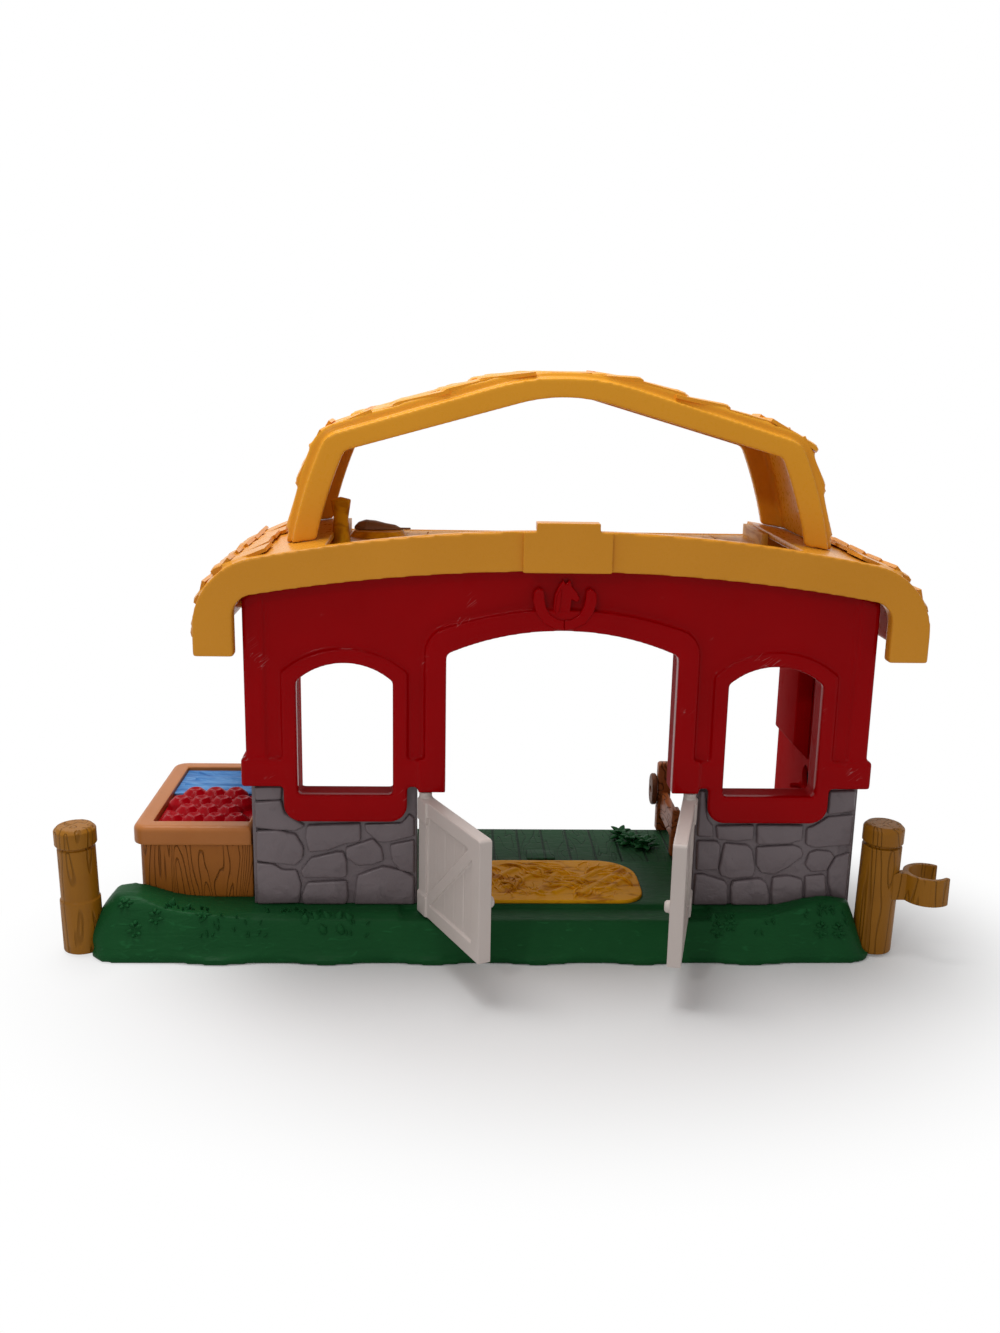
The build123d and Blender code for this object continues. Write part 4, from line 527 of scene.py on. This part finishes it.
def coursed_outlines(width, low, high, seed):
    """Uneven stones in three courses along a plain wall, from 0 to width."""
    outlines = []
    for row in range(3):
        count = max(2, round(width / 21) - row % 2)
        bottom = low + (high - low) * row / 3 + 1
        top = low + (high - low) * (row + 1) / 3 - 1
        marks = [width * k / count + (waver(seed + 7 * row + k, 3.2) if 0 < k < count else 0)
                 for k in range(count + 1)]
        for k in range(count):
            lean = waver(seed + 3 * row + k, 1.5) if k else 0
            left = marks[k] + 1
            right = marks[k + 1] - 1
            outlines.append((
                (left + lean, bottom), (right, bottom), (right, top - 3), (right - 3, top - 0.5),
                ((left + right) / 2, top + 0.6), (left - lean, top - 0.4)))
    return outlines


def stone_wall(side, outlines):
    """A stone wall: a plain body round the window, behind hand-laid stones on its front and its side."""
    name = "stone_wall_" + side
    sign = -1 if side == "left" else 1
    low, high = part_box(name)
    outer = abs(low.x if sign < 0 else high.x) / MM
    edge = outer - 0.3
    body = ((WALL_INNER, WALL_FOOT), (edge, WALL_FOOT), (edge, WALL_TOP), (NOTCH_OUTER, WALL_TOP),
            (NOTCH_OUTER, NOTCH_FOOT), (NOTCH_INNER, NOTCH_FOOT), (NOTCH_INNER, WALL_TOP),
            (WALL_INNER, WALL_TOP))
    front = slate("front", [(x * sign, z) for x, z in body], 14, MORTAR, edge=0.5)
    across = sorted((sign * FLANK_INNER, sign * (outer - 1.6)))
    flank = slab("flank", across, (MORTAR, FLANK_BACK), (WALL_FOOT, WALL_TOP), 0.3)
    pieces = [front, flank]
    for n, outline in enumerate(outlines):
        x0 = sum(x for x, z in outline) / len(outline)
        z0 = sum(z for x, z in outline) / len(outline)
        outline = [(x + math.copysign(0.5, x - x0), z + math.copysign(0.5, z - z0))
                   for x, z in outline]
        pieces.append(slate("stone", outline, STONE_BACK, STONE_FACE + waver(n, 0.25), edge=1.3))
    onto_flank = Matrix.Rotation(math.radians(90 * sign), 4, "Z")
    onto_flank.translation = Vector((sign * outer * MM, 6 * MM, 0))
    for n, outline in enumerate(coursed_outlines(99, WALL_FOOT, WALL_TOP, 4)):
        flat = [(a * sign, z) for a, z in outline]
        pieces.append(slate("stone", flat, 2.4, waver(n, 0.1) + 0.1, onto_flank, 1.2))
    return dress(joined(pieces, name), "stone_plastic", nodes=[name])


# ---------------------------------------------------------------- things that repeat

def placed(master, matrix):
    """A copy of a modelled piece, with its own mesh, put in its place."""
    copy = master.copy()
    copy.data = master.data.copy()
    bpy.context.scene.collection.objects.link(copy)
    copy.data.transform(matrix)
    return copy


def standing(place, ahead, up):
    """The placing of a master that lies along X with its top towards Z; the place is in millimetres."""
    along = Vector(ahead).normalized()
    normal = (Vector(up) - along * Vector(up).dot(along)).normalized()
    across = normal.cross(along)
    turned = Matrix((along, across, normal)).transposed().to_4x4()
    turned.translation = Vector(place) * MM
    return turned


def surface_under(piece, x, y, top=120):
    """The point of a piece below a place, in millimetres, and its normal there."""
    start = Vector((x, y, top)) * MM
    hit, point, normal, face = piece.ray_cast(start, Vector((0, 0, -1)))
    return (point / MM, normal) if hit else (None, None)


def straw(name, length, width, bend, seed=0):
    """A master straw: a slim bar, pinched at its ends and bent."""
    bpy.ops.object.select_all(action="DESELECT")
    bpy.ops.mesh.primitive_cylinder_add(vertices=6, radius=width / 2 * MM, depth=length * MM,
                                        rotation=(0, math.radians(90), 0))
    stalk = settle(bpy.context.object, name)
    mesh = enter(stalk, "EDGE")
    for edge in mesh.edges:
        if abs(edge.verts[0].co.x - edge.verts[1].co.x) > length * MM * 0.9:
            edge.select_set(True)
    bpy.ops.mesh.subdivide(number_cuts=5)
    mesh = bmesh.from_edit_mesh(stalk.data)
    for corner in mesh.verts:
        share = corner.co.x / (length * MM) * 2
        thin = 1 - 0.55 * share ** 4
        corner.co.y = corner.co.y * thin + bend * MM * (1 - share * share) + waver(seed, 0.3) * MM * share
        corner.co.z = corner.co.z * thin - 0.3 * width * MM * share * share
    bmesh.update_edit_mesh(stalk.data)
    leave()
    return stalk


def bundle(name, width, seed):
    """A master bundle of thatch: combed along its length, thick and ragged at its lower end."""
    bpy.ops.object.select_all(action="DESELECT")
    bpy.ops.mesh.primitive_grid_add(x_subdivisions=14, y_subdivisions=12, size=MM)
    tongue = settle(bpy.context.object, name)
    mesh = enter(tongue)
    for corner in mesh.verts:
        along = corner.co.x / MM + 0.5
        across = corner.co.y / MM * 2
        corner.co.x *= BUNDLE_LENGTH
        corner.co.y *= width * (1 - 0.10 * along * along)
        comb = math.cos(across * 8 + along * 2.2 + waver(seed, 2)) + math.cos(across * 3.5 + seed)
        tip = max(0, (along - 0.72) / 0.28)
        rim = max(0, (abs(across) - 0.7) / 0.3)
        corner.co.x -= (1.2 * across ** 2 + waver(seed + round(across * 3), 0.7)) * tip * MM
        corner.co.y += math.sin(along * 3.1 + seed) * 0.5 * MM
        round_tip = math.sqrt(max(0, 1 - (max(0, tip - 0.45) / 0.55) ** 2))
        round_side = math.sqrt(max(0, 1 - 0.75 * rim ** 2))
        rise = BUNDLE_THICK * (0.2 + 0.8 * along) * round_tip * round_side
        corner.co.z = (rise + comb * 0.14 * min(1, 4 * along) * (1 - rim)) * MM
    bpy.ops.mesh.select_all(action="SELECT")
    bpy.ops.mesh.extrude_region_move(TRANSFORM_OT_translate={"value": (0, 0, 0)})
    mesh = bmesh.from_edit_mesh(tongue.data)
    for corner in mesh.verts:
        if corner.select:
            corner.co.z = -BUNDLE_SKIRT * MM
    bpy.ops.mesh.select_all(action="SELECT")
    bpy.ops.mesh.normals_make_consistent(inside=False)
    leave()
    return tongue


def drop(*masters):
    """Takes away masters whose copies are laid."""
    for master in masters:
        bpy.data.objects.remove(master)


# ---------------------------------------------------------------- ground

# Places on the banks, as (X, Y): tufts of grass, flowers, and broad leaves
TUFTS = ((-172, -6), (-163, -4), (-128, -4), (-119, -4), (-112, -5), (-148, -11), (-136, -12), (-156, -12),
         (124, -8), (131, -8), (118, -9), (77, -9), (-90, -12), (96, -12))
FLOWERS = ((-195, -7), (-190, -12), (-181, -10), (-160, -9), (122, -12), (130, -12), (80, -11), (74, -12))
LEAVES = ((-114, -10), (-109, -8.5), (-104, -8), (-99, -8.2), (-94, -9), (-106, -12), (-98, -12), (-175, -3),
          (-168, -5), (72, -9))
HILL_X = -186.0         # where the left hill's outer slope begins
HILL_FOOT = 2.5
HILL_RISE = 25.0
HILL_SWELL = 5.2
DRAW_X = -150.0         # the base's left end is drawn in behind these, so that it ends under the trough
DRAW_Y = 10.0
DRAW_IN = 15.0


def shape_left_end(base):
    """Swells the outer slope of the left hill, and draws the base in behind it."""
    enter(base)
    mark(base, "verts", lambda place, corner: place.z > HILL_FOOT and place.x < HILL_X)
    mesh = bmesh.from_edit_mesh(base.data)
    for corner in mesh.verts:
        if corner.select:
            share = min(1, max(0, (corner.co.z / MM - HILL_FOOT) / HILL_RISE))
            swell = math.sin(math.pi * share ** 0.8)
            corner.co.x -= HILL_SWELL * swell * min(1, (HILL_X - corner.co.x / MM) / 8) * MM
        x, y = corner.co.x / MM, corner.co.y / MM
        if x < DRAW_X and y > DRAW_Y:
            inward = min(1, (DRAW_X - x) / 45) * min(1, (y - DRAW_Y) / 12)
            corner.co.x += DRAW_IN * inward * MM
    bmesh.update_edit_mesh(base.data)
    leave()


def bank_relief(base):
    """Tufts, flowers and leaves that stand on the banks."""
    tall = straw("tall_blade", 4.2, 0.9, 0.5)
    petal = leaf_master("petal", 1.9, 1.0, 0.8)
    broad = leaf_master("broad_leaf", 3.0, 1.9, 1.3)
    spots = []
    for n, (x, y) in enumerate(TUFTS):
        for k in range(7):
            spot = (x + waver(n * 7 + k, 4.5), y + waver(n * 5 + k + 3, 1.3))
            spots.append((tall, spot, (waver(n + k, 0.5), -0.3, 1)))
    for n, (x, y) in enumerate(FLOWERS):
        for k in range(6):
            turn = math.radians(60 * k + 20 * n)
            spot = (x + 2.0 * math.cos(turn), y + 1.1 * math.sin(turn))
            spots.append((petal, spot, (math.cos(turn), math.sin(turn), 0.1)))
    for n, spot in enumerate(LEAVES):
        spots.append((broad, spot, (waver(n, 0.8), 0.3, 1)))
    pieces = []
    for master, (x, y), ahead in spots:
        point, normal = surface_under(base, x, y)
        if point is not None:
            pieces.append(placed(master, standing(point, ahead, normal)))
    drop(tall, petal, broad)
    return pieces


def ground():
    """The green base: soft banks in relief, a board and a bush on its floor, and catches on its step."""
    base = cast("base_shell", "green_base", 1.1, 3)
    shape_left_end(base)
    pieces = [base] + bank_relief(base)
    pieces += bush((46, 79), 6) + bush((53, 74), 5) + bush((42, 88), 5)
    pieces.append(slab("cross_board", (-9.5, 4.8), (57, 69), (19.8, 20.7), 0.3))
    for left in (-24.8, -5.2, 16.6):
        pieces.append(slab("catch", (left, left + 10), (2.9, 4.6), (17.2, 19.6), 0.3))
    return dress(joined(pieces, "green_base"), "green_plastic", nodes=["base_shell"])


def leaf_master(name, long, wide, high):
    """A small leaf in relief, pointed at one end."""
    bpy.ops.object.select_all(action="DESELECT")
    bpy.ops.mesh.primitive_uv_sphere_add(segments=10, ring_count=6, radius=MM, scale=(long, wide, high))
    leaf = settle(bpy.context.object, name)
    mesh = enter(leaf)
    for corner in mesh.verts:
        share = corner.co.x / (long * MM)
        corner.co.y *= 1 - 0.55 * max(share, 0)
        corner.co.z *= 1 - 0.3 * max(share, 0)
    bmesh.update_edit_mesh(leaf.data)
    leave()
    return leaf


def bush(place, leaves):
    """A low clump of broad leaves on the stable floor."""
    bpy.ops.object.select_all(action="DESELECT")
    bpy.ops.mesh.primitive_uv_sphere_add(segments=12, ring_count=8, radius=MM, scale=(4.2, 2.0, 0.9))
    leaf = settle(bpy.context.object, "leaf")
    mesh = enter(leaf)
    for corner in mesh.verts:
        share = corner.co.x / (4.2 * MM)
        corner.co.y *= 1 - 0.45 * max(share, 0)
        corner.co.z += (0.9 * (1 - share * share) - 0.35 * (1 - abs(corner.co.y) / (2 * MM))) * MM
    bmesh.update_edit_mesh(leaf.data)
    leave()
    clump = []
    for n in range(leaves * 2):
        turn = math.radians(360 / leaves * n + waver(n, 15))
        reach = 4.0 if n < leaves else 2.0
        rise = 21.0 if n < leaves else 23.2
        ahead = (math.cos(turn), math.sin(turn), 0.25 if n < leaves else 0.7)
        middle = (place[0] + reach * math.cos(turn), place[1] + reach * math.sin(turn), rise)
        clump.append(placed(leaf, standing(middle, ahead, (0, 0, 1))))
    drop(leaf)
    return clump


def hay_insert():
    """The hay that drops into the floor: a plate with swirls of straw."""
    plate = cast("hay_patch", "hay_insert", 0.5, 3)
    low, high = (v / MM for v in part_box("hay_patch"))
    stalks = [straw("stalk", 13, 1.7, 2.2), straw("stalk", 10, 1.5, -2.0, 2),
              straw("stalk", 16, 1.9, 2.8, 4)]
    pieces = [plate]
    for n in range(150):
        x = low.x + 8 + (n * 53.13) % (high.x - low.x - 16)
        y = low.y + 6 + (n * 17.77) % (high.y - low.y - 12)
        point, normal = surface_under(plate, x, y, 40)
        if point is None or point.z < 20.5:
            continue
        turn = 0.9 * math.sin(x / 13) + 0.8 * math.cos(y / 9) + waver(n, 0.5)
        ahead = (math.cos(turn), math.sin(turn), 0)
        pieces.append(placed(stalks[n % 3], standing((x, y, point.z - 0.35), ahead, (0, 0, 1))))
    drop(*stalks)
    return dress(joined(pieces, "hay_insert"), "hay_plastic", nodes=["hay_patch"])


# ---------------------------------------------------------------- red walls

def red_walls():
    """The front wall with its frames, and the two side walls."""
    dress(cast("front_wall", "red_front", 0.8, 6), "red_plastic", nodes=["front_wall"])
    for side in ("left", "right"):
        name = "side_wall_" + side
        # The side walls take the lighter red, which is painted light.
        dress(cast(name, "red_" + name), "red_plastic", nodes=[name], material="red_inside")
    horseshoe()
    dress(traced("feed_chute", "hay_chute", 0.9, 3), "red_plastic", nodes=["feed_chute"],
          material="red_inside")


def horseshoe():
    """A splayed horseshoe in relief over the doorway, round a horse's head."""
    low, high = (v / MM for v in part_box("horseshoe"))
    middle = (low.z + high.z) / 2 - 1.5
    back = -0.2
    outer = ((-13.6, 5.6), (-13.9, 1.5), (-12.4, -3.5), (-9.2, -7.8), (-4.5, -10.4), (0, -11.2))
    inner = ((0, -6.6), (-3, -6.2), (-6.2, -4.2), (-8.2, -0.8), (-9.0, 3), (-9.3, 6.4), (-11.4, 7.4))
    shoe = []
    for sign in (1, -1):
        outline = [(sign * x, middle + z) for x, z in outer + inner]
        shoe.append(slate("shoe", outline, back, low.y, edge=0.7))
    head = ((-4.4, -7), (-5.0, -1), (-4.4, 4.5), (-2.4, 8.6), (-0.6, 10.6), (0.2, 9.0), (2.2, 10.8),
            (2.9, 8.2), (5.2, 5.6), (6.6, 2.8), (5.4, 1.2), (3.0, 2.6), (2.6, -2), (3.4, -7))
    shoe.append(slate("head", [(x, middle + z) for x, z in head], back, low.y + 1.4, edge=0.6))
    mane = ((-3.6, -5), (-4.0, 0), (-3.4, 4.4), (-1.6, 7.4), (-1.8, 3.0), (-2.2, -2))
    shoe.append(slate("mane", [(x, middle + z) for x, z in mane], -0.4, low.y + 0.7, edge=0.4))
    return dress(joined(shoe, "lucky_horseshoe"), "red_plastic", nodes=["horseshoe"])


def doors():
    """The two doors, each riding on its own hinge."""
    for side in ("left", "right"):
        name = side + "_door"
        dress(cast(name, "plank_" + name, 0.4, 2, 0.35), "door_plastic", name, [name])


# ---------------------------------------------------------------- roof

ARCH_LANES = (31.5, 50.5, 69.5, 88.5)   # of thatch over the arch, by Y
ARCH_ROWS = 8
ROW_STEP = 20.0
BUNDLE_LENGTH = 26.0
BUNDLE_THICK = 1.4
BUNDLE_SKIRT = 1.4                      # how far a bundle's sides go down into the roof
SHOULDER = Vector((128, 0, 152.2))      # the middle of the roof's right shoulder
SHOULDER_R = 31.4
SHOULDER_LEANS = (66, 40, 14)           # of its rows of thatch, in degrees
SHOULDER_LANES = 5


def thatch_run(arch, y):
    """Places down the right half of the arch's thatch at one depth, every millimetre from the peak, in
    millimetres, with the way down and the way out at each."""
    centre = Vector((0, y, 175))
    found = []
    for n in range(240):
        angle = math.radians(n * 0.345)
        out = Vector((math.sin(angle), 0, math.cos(angle)))
        hit, point, normal, face = arch.ray_cast((centre + out * 160) * MM, -out)
        if hit and point.z / MM > 193:
            found.append(point / MM)
    run = [found[0]]
    for point in found:
        while (point - run[-1]).length > 1:
            run.append(run[-1] + (point - run[-1]).normalized())
    places = []
    for k, point in enumerate(run):
        ahead = (run[min(k + 9, len(run) - 1)] - run[max(k - 9, 0)]).normalized()
        places.append((point, ahead, Vector((-ahead.z, 0, ahead.x))))
    return places


def thatched_arch():
    """The carrying arch: a smooth band in front, and overlapping bundles down its slopes and legs."""
    arch = cast("roof_handle", "arch_band", 0.9, 4)
    masters = [bundle("bundle", 20, seed) for seed in (1, 4, 9)]
    pieces = [arch]
    for lane, y in enumerate(ARCH_LANES):
        run = thatch_run(arch, y)
        for row in range(ARCH_ROWS):
            for sign in (-1, 1):
                n = lane * ARCH_ROWS + row
                step = 6 + row * ROW_STEP + waver(n + 3 * sign, 3.5)
                if step > len(run) - 5:
                    continue
                point, ahead, up = run[int(step)]
                place = point - up * (0.7 if row < 6 else 0.9)
                master = masters[(n + sign) % 3]
                along = Vector((sign * ahead.x, waver(n + 5 * sign, 0.06), ahead.z))
                pieces.append(placed(master, standing(
                    (sign * place.x, y + waver(n + 9, 0.6), place.z), along, (sign * up.x, 0, up.z))))
    drop(*masters)
    return dress(joined(pieces, "thatched_arch"), "straw_plastic", nodes=["roof_handle"], angle=50)


def lower_roof():
    """The lower roof with its deep rounded front band, and thatch over its shoulders."""
    shell = cast("roof_shell", "roof_band", 0.9, 5)
    masters = [bundle("bundle", 21, seed) for seed in (2, 6, 11)]
    pieces = [shell]
    for row, lean in enumerate(SHOULDER_LEANS):
        for lane in range(SHOULDER_LANES):
            n = row * SHOULDER_LANES + lane
            y = 6 + lane * 21.2
            angle = math.radians(lean + waver(n, 3))
            for sign in (-1, 1):
                up = Vector((sign * math.cos(angle), 0, math.sin(angle)))
                ahead = Vector((sign * math.sin(angle), waver(n, 0.05), -math.cos(angle)))
                place = (sign * (SHOULDER.x + SHOULDER_R * math.cos(angle)), y,
                         SHOULDER.z + SHOULDER_R * math.sin(angle))
                pieces.append(placed(masters[(n + sign) % 3], standing(place, ahead, up)))
    drop(*masters)
    # The lower roof and the plaque take the darker straw, which is painted shade.
    dress(joined(pieces, "lower_roof"), "straw_plastic", nodes=["roof_shell"],
          material="roof_straw_painted_shade", angle=50)
    dress(cast("name_plaque", "bare_plaque", 0.5, 9), "straw_plastic", nodes=["name_plaque"],
          material="roof_straw_painted_shade")


def loft():
    """The loft floor with loose hay, a sleeping cat and a sheaf."""
    dress(traced("loft_floor", "loft_boards", 0.4, 2), "loft_plastic", nodes=["loft_floor"])
    dress(cast("loft_hay", "loft_hay_heap", 0.4, 4), "hay_plastic", nodes=["loft_hay"])
    dress(cast("loft_cat", "sleeping_cat", 0.3, 4), "cat_plastic", nodes=["loft_cat"])
    sheaf = cast("loft_sheaf", "straw_sheaf", 0.4, 3)
    enter(sheaf)
    bpy.ops.mesh.select_all(action="SELECT")
    low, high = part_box("loft_sheaf")
    foot = ((low.x + high.x) / 2, (low.y + high.y) / 2, low.z)
    bpy.ops.transform.resize(value=(1, 1, 1.25), center_override=foot)
    bpy.ops.transform.translate(value=(-2.6 * MM, 0, 0))
    leave()
    dress(sheaf, "hay_plastic", nodes=["loft_sheaf"])


# ---------------------------------------------------------------- trough, posts and fence

def trough():
    """The trough: a plank box under a thick rim, filled with water and apples."""
    dress(cast("trough_box", "plank_trough", 0.5, 2), "trough_plastic", nodes=["trough_box"],
          material="trough_planks")
    dress(cast("trough_rim", "trough_top_rim", 0.6, 4), "trough_plastic", nodes=["trough_rim"])
    dress(traced("water_panel", "trough_water", 0.4, 2), "water_plastic", nodes=["water_panel"])
    dress(cast("apple_pile", "heaped_apples", 0.4, 2), "apple_plastic", nodes=["apple_pile"])


def fence():
    """The two log posts and the open clip."""
    for side in ("left", "right"):
        dress(cast(side + "_post", side + "_log_post", 0.4, 3), "log_plastic", nodes=[side + "_post"])
    dress(cast("fence_clip", "snap_clip", 0.3, 4), "log_plastic", nodes=["fence_clip"])


def stall():
    """The stall fence at the back, with its coil of rope."""
    dress(traced("stall_post", "stall_log", 0.6, 3), "stall_plastic", nodes=["stall_post"])
    dress(traced("stall_rail", "stall_board", 0.6, 3), "stall_plastic", nodes=["stall_rail"])
    dress(cast("rope_coil", "hanging_rope", 0.25, 2), "rope_plastic", nodes=["rope_coil"])


def screws():
    """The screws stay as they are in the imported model, in plated steel."""
    for name in ("base_screws", "roof_screws"):
        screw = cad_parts[name]
        screw.data.materials.clear()
        screw.data.materials.append(MATERIALS["screw_steel"])


# ---------------------------------------------------------------- camera, lights and floor

def make_camera():
    """The camera by its place, turn, tilt and roll."""
    turn, tilt, roll = (math.radians(a) for a in (CAMERA_TURN, CAMERA_TILT, CAMERA_ROLL))
    level = Vector((math.sin(turn), math.cos(turn), 0))
    side = Vector((math.cos(turn), -math.sin(turn), 0))
    up = Vector((0, 0, 1))
    ahead = level * math.cos(tilt) - up * math.sin(tilt)
    above = up * math.cos(tilt) + level * math.sin(tilt)
    right = side * math.cos(roll) + above * math.sin(roll)
    top = above * math.cos(roll) - side * math.sin(roll)
    data = bpy.data.cameras.new("camera")
    data.lens = CAMERA_LENS
    data.sensor_width = 36
    camera = bpy.data.objects.new("camera", data)
    bpy.context.scene.collection.objects.link(camera)
    placing = Matrix((right, top, -ahead)).transposed().to_4x4()
    placing.translation = Vector(CAMERA_PLACE) * MM
    camera.matrix_world = placing
    bpy.context.scene.camera = camera


def soft_light(name, place, size, power):
    """A square lamp that looks at the barn."""
    data = bpy.data.lights.new(name, "AREA")
    data.size = size
    data.energy = power
    lamp = bpy.data.objects.new(name, data)
    bpy.context.scene.collection.objects.link(lamp)
    start = Vector(place) * MM
    aim = Vector((0, 0, 0.1)) - start
    lamp.rotation_euler = aim.to_track_quat("-Z", "Y").to_euler()
    lamp.location = start


def seen_directly(sheet):
    """1 where a ray comes from the camera or from a mirror or glass, and 0 for light that fills the room."""
    path = [sheet.node("LightPath", output=name) for name in
            ("Is Camera Ray", "Is Glossy Ray", "Is Transmission Ray")]
    return sheet.node("Math", {"operation": "ADD", "use_clamp": True}, {0: path[0] + path[1], 1: path[2]})


class Sheet(Finish):
    """A node tree that isn't a Principled material."""

    def __init__(self, tree):
        self.tree = tree
        tree.nodes.clear()


def make_room():
    """A white room, and a pale floor that keeps the barn's shadow and fades into the room."""
    world = bpy.data.worlds.new("white_room")
    bpy.context.scene.world = world
    world.use_nodes = True
    sheet = Sheet(world.node_tree)
    white = sheet.node("Background", {}, {"Color": (1, 1, 1), "Strength": 1.0})
    fill = sheet.node("Background", {}, {"Color": (1, 1, 1), "Strength": SKY_FILL})
    both = sheet.node("MixShader", {}, {0: seen_directly(sheet), 1: fill, 2: white})
    sheet.node("OutputWorld", {}, {"Surface": both})

    bpy.ops.object.select_all(action="DESELECT")
    bpy.ops.mesh.primitive_circle_add(vertices=64, radius=8, fill_type="NGON", location=(0, 0, -0.0002))
    floor = settle(bpy.context.object, "floor")
    paper = bpy.data.materials.new("floor_paper")
    paper.use_nodes = True
    sheet = Sheet(paper.node_tree)
    matt = sheet.node("BsdfDiffuse", {}, {"Color": (FLOOR_GREY,) * 3})
    glow = sheet.node("Emission", {}, {"Color": (1, 1, 1), "Strength": 1.0})
    behind = sheet.stepped(sheet.along(1), 60, 125)
    away = sheet.node("VectorMath", {"operation": "LENGTH"}, {0: sheet.places((0.72, 1, 1))}, output="Value")
    far = sheet.node("Math", {"operation": "MAXIMUM"}, {0: behind, 1: sheet.stepped(away, 85, 195)})
    share = seen_directly(sheet) * (FLOOR_GLOW + far * (1 - FLOOR_GLOW))
    both = sheet.node("MixShader", {}, {0: share, 1: matt, 2: glow})
    sheet.node("OutputMaterial", {}, {"Surface": both})
    floor.data.materials.append(paper)

    soft_light("key", KEY_PLACE, KEY_SIZE, KEY_POWER)
    soft_light("front", FRONT_PLACE, FRONT_SIZE, FRONT_POWER)
    bpy.context.scene.view_settings.view_transform = "Standard"


MATERIALS = make_materials()
stone_wall("left", LEFT_STONES)
stone_wall("right", RIGHT_STONES)
ground()
hay_insert()
red_walls()
doors()
thatched_arch()
lower_roof()
loft()
trough()
fence()
stall()
screws()
make_camera()
make_room()
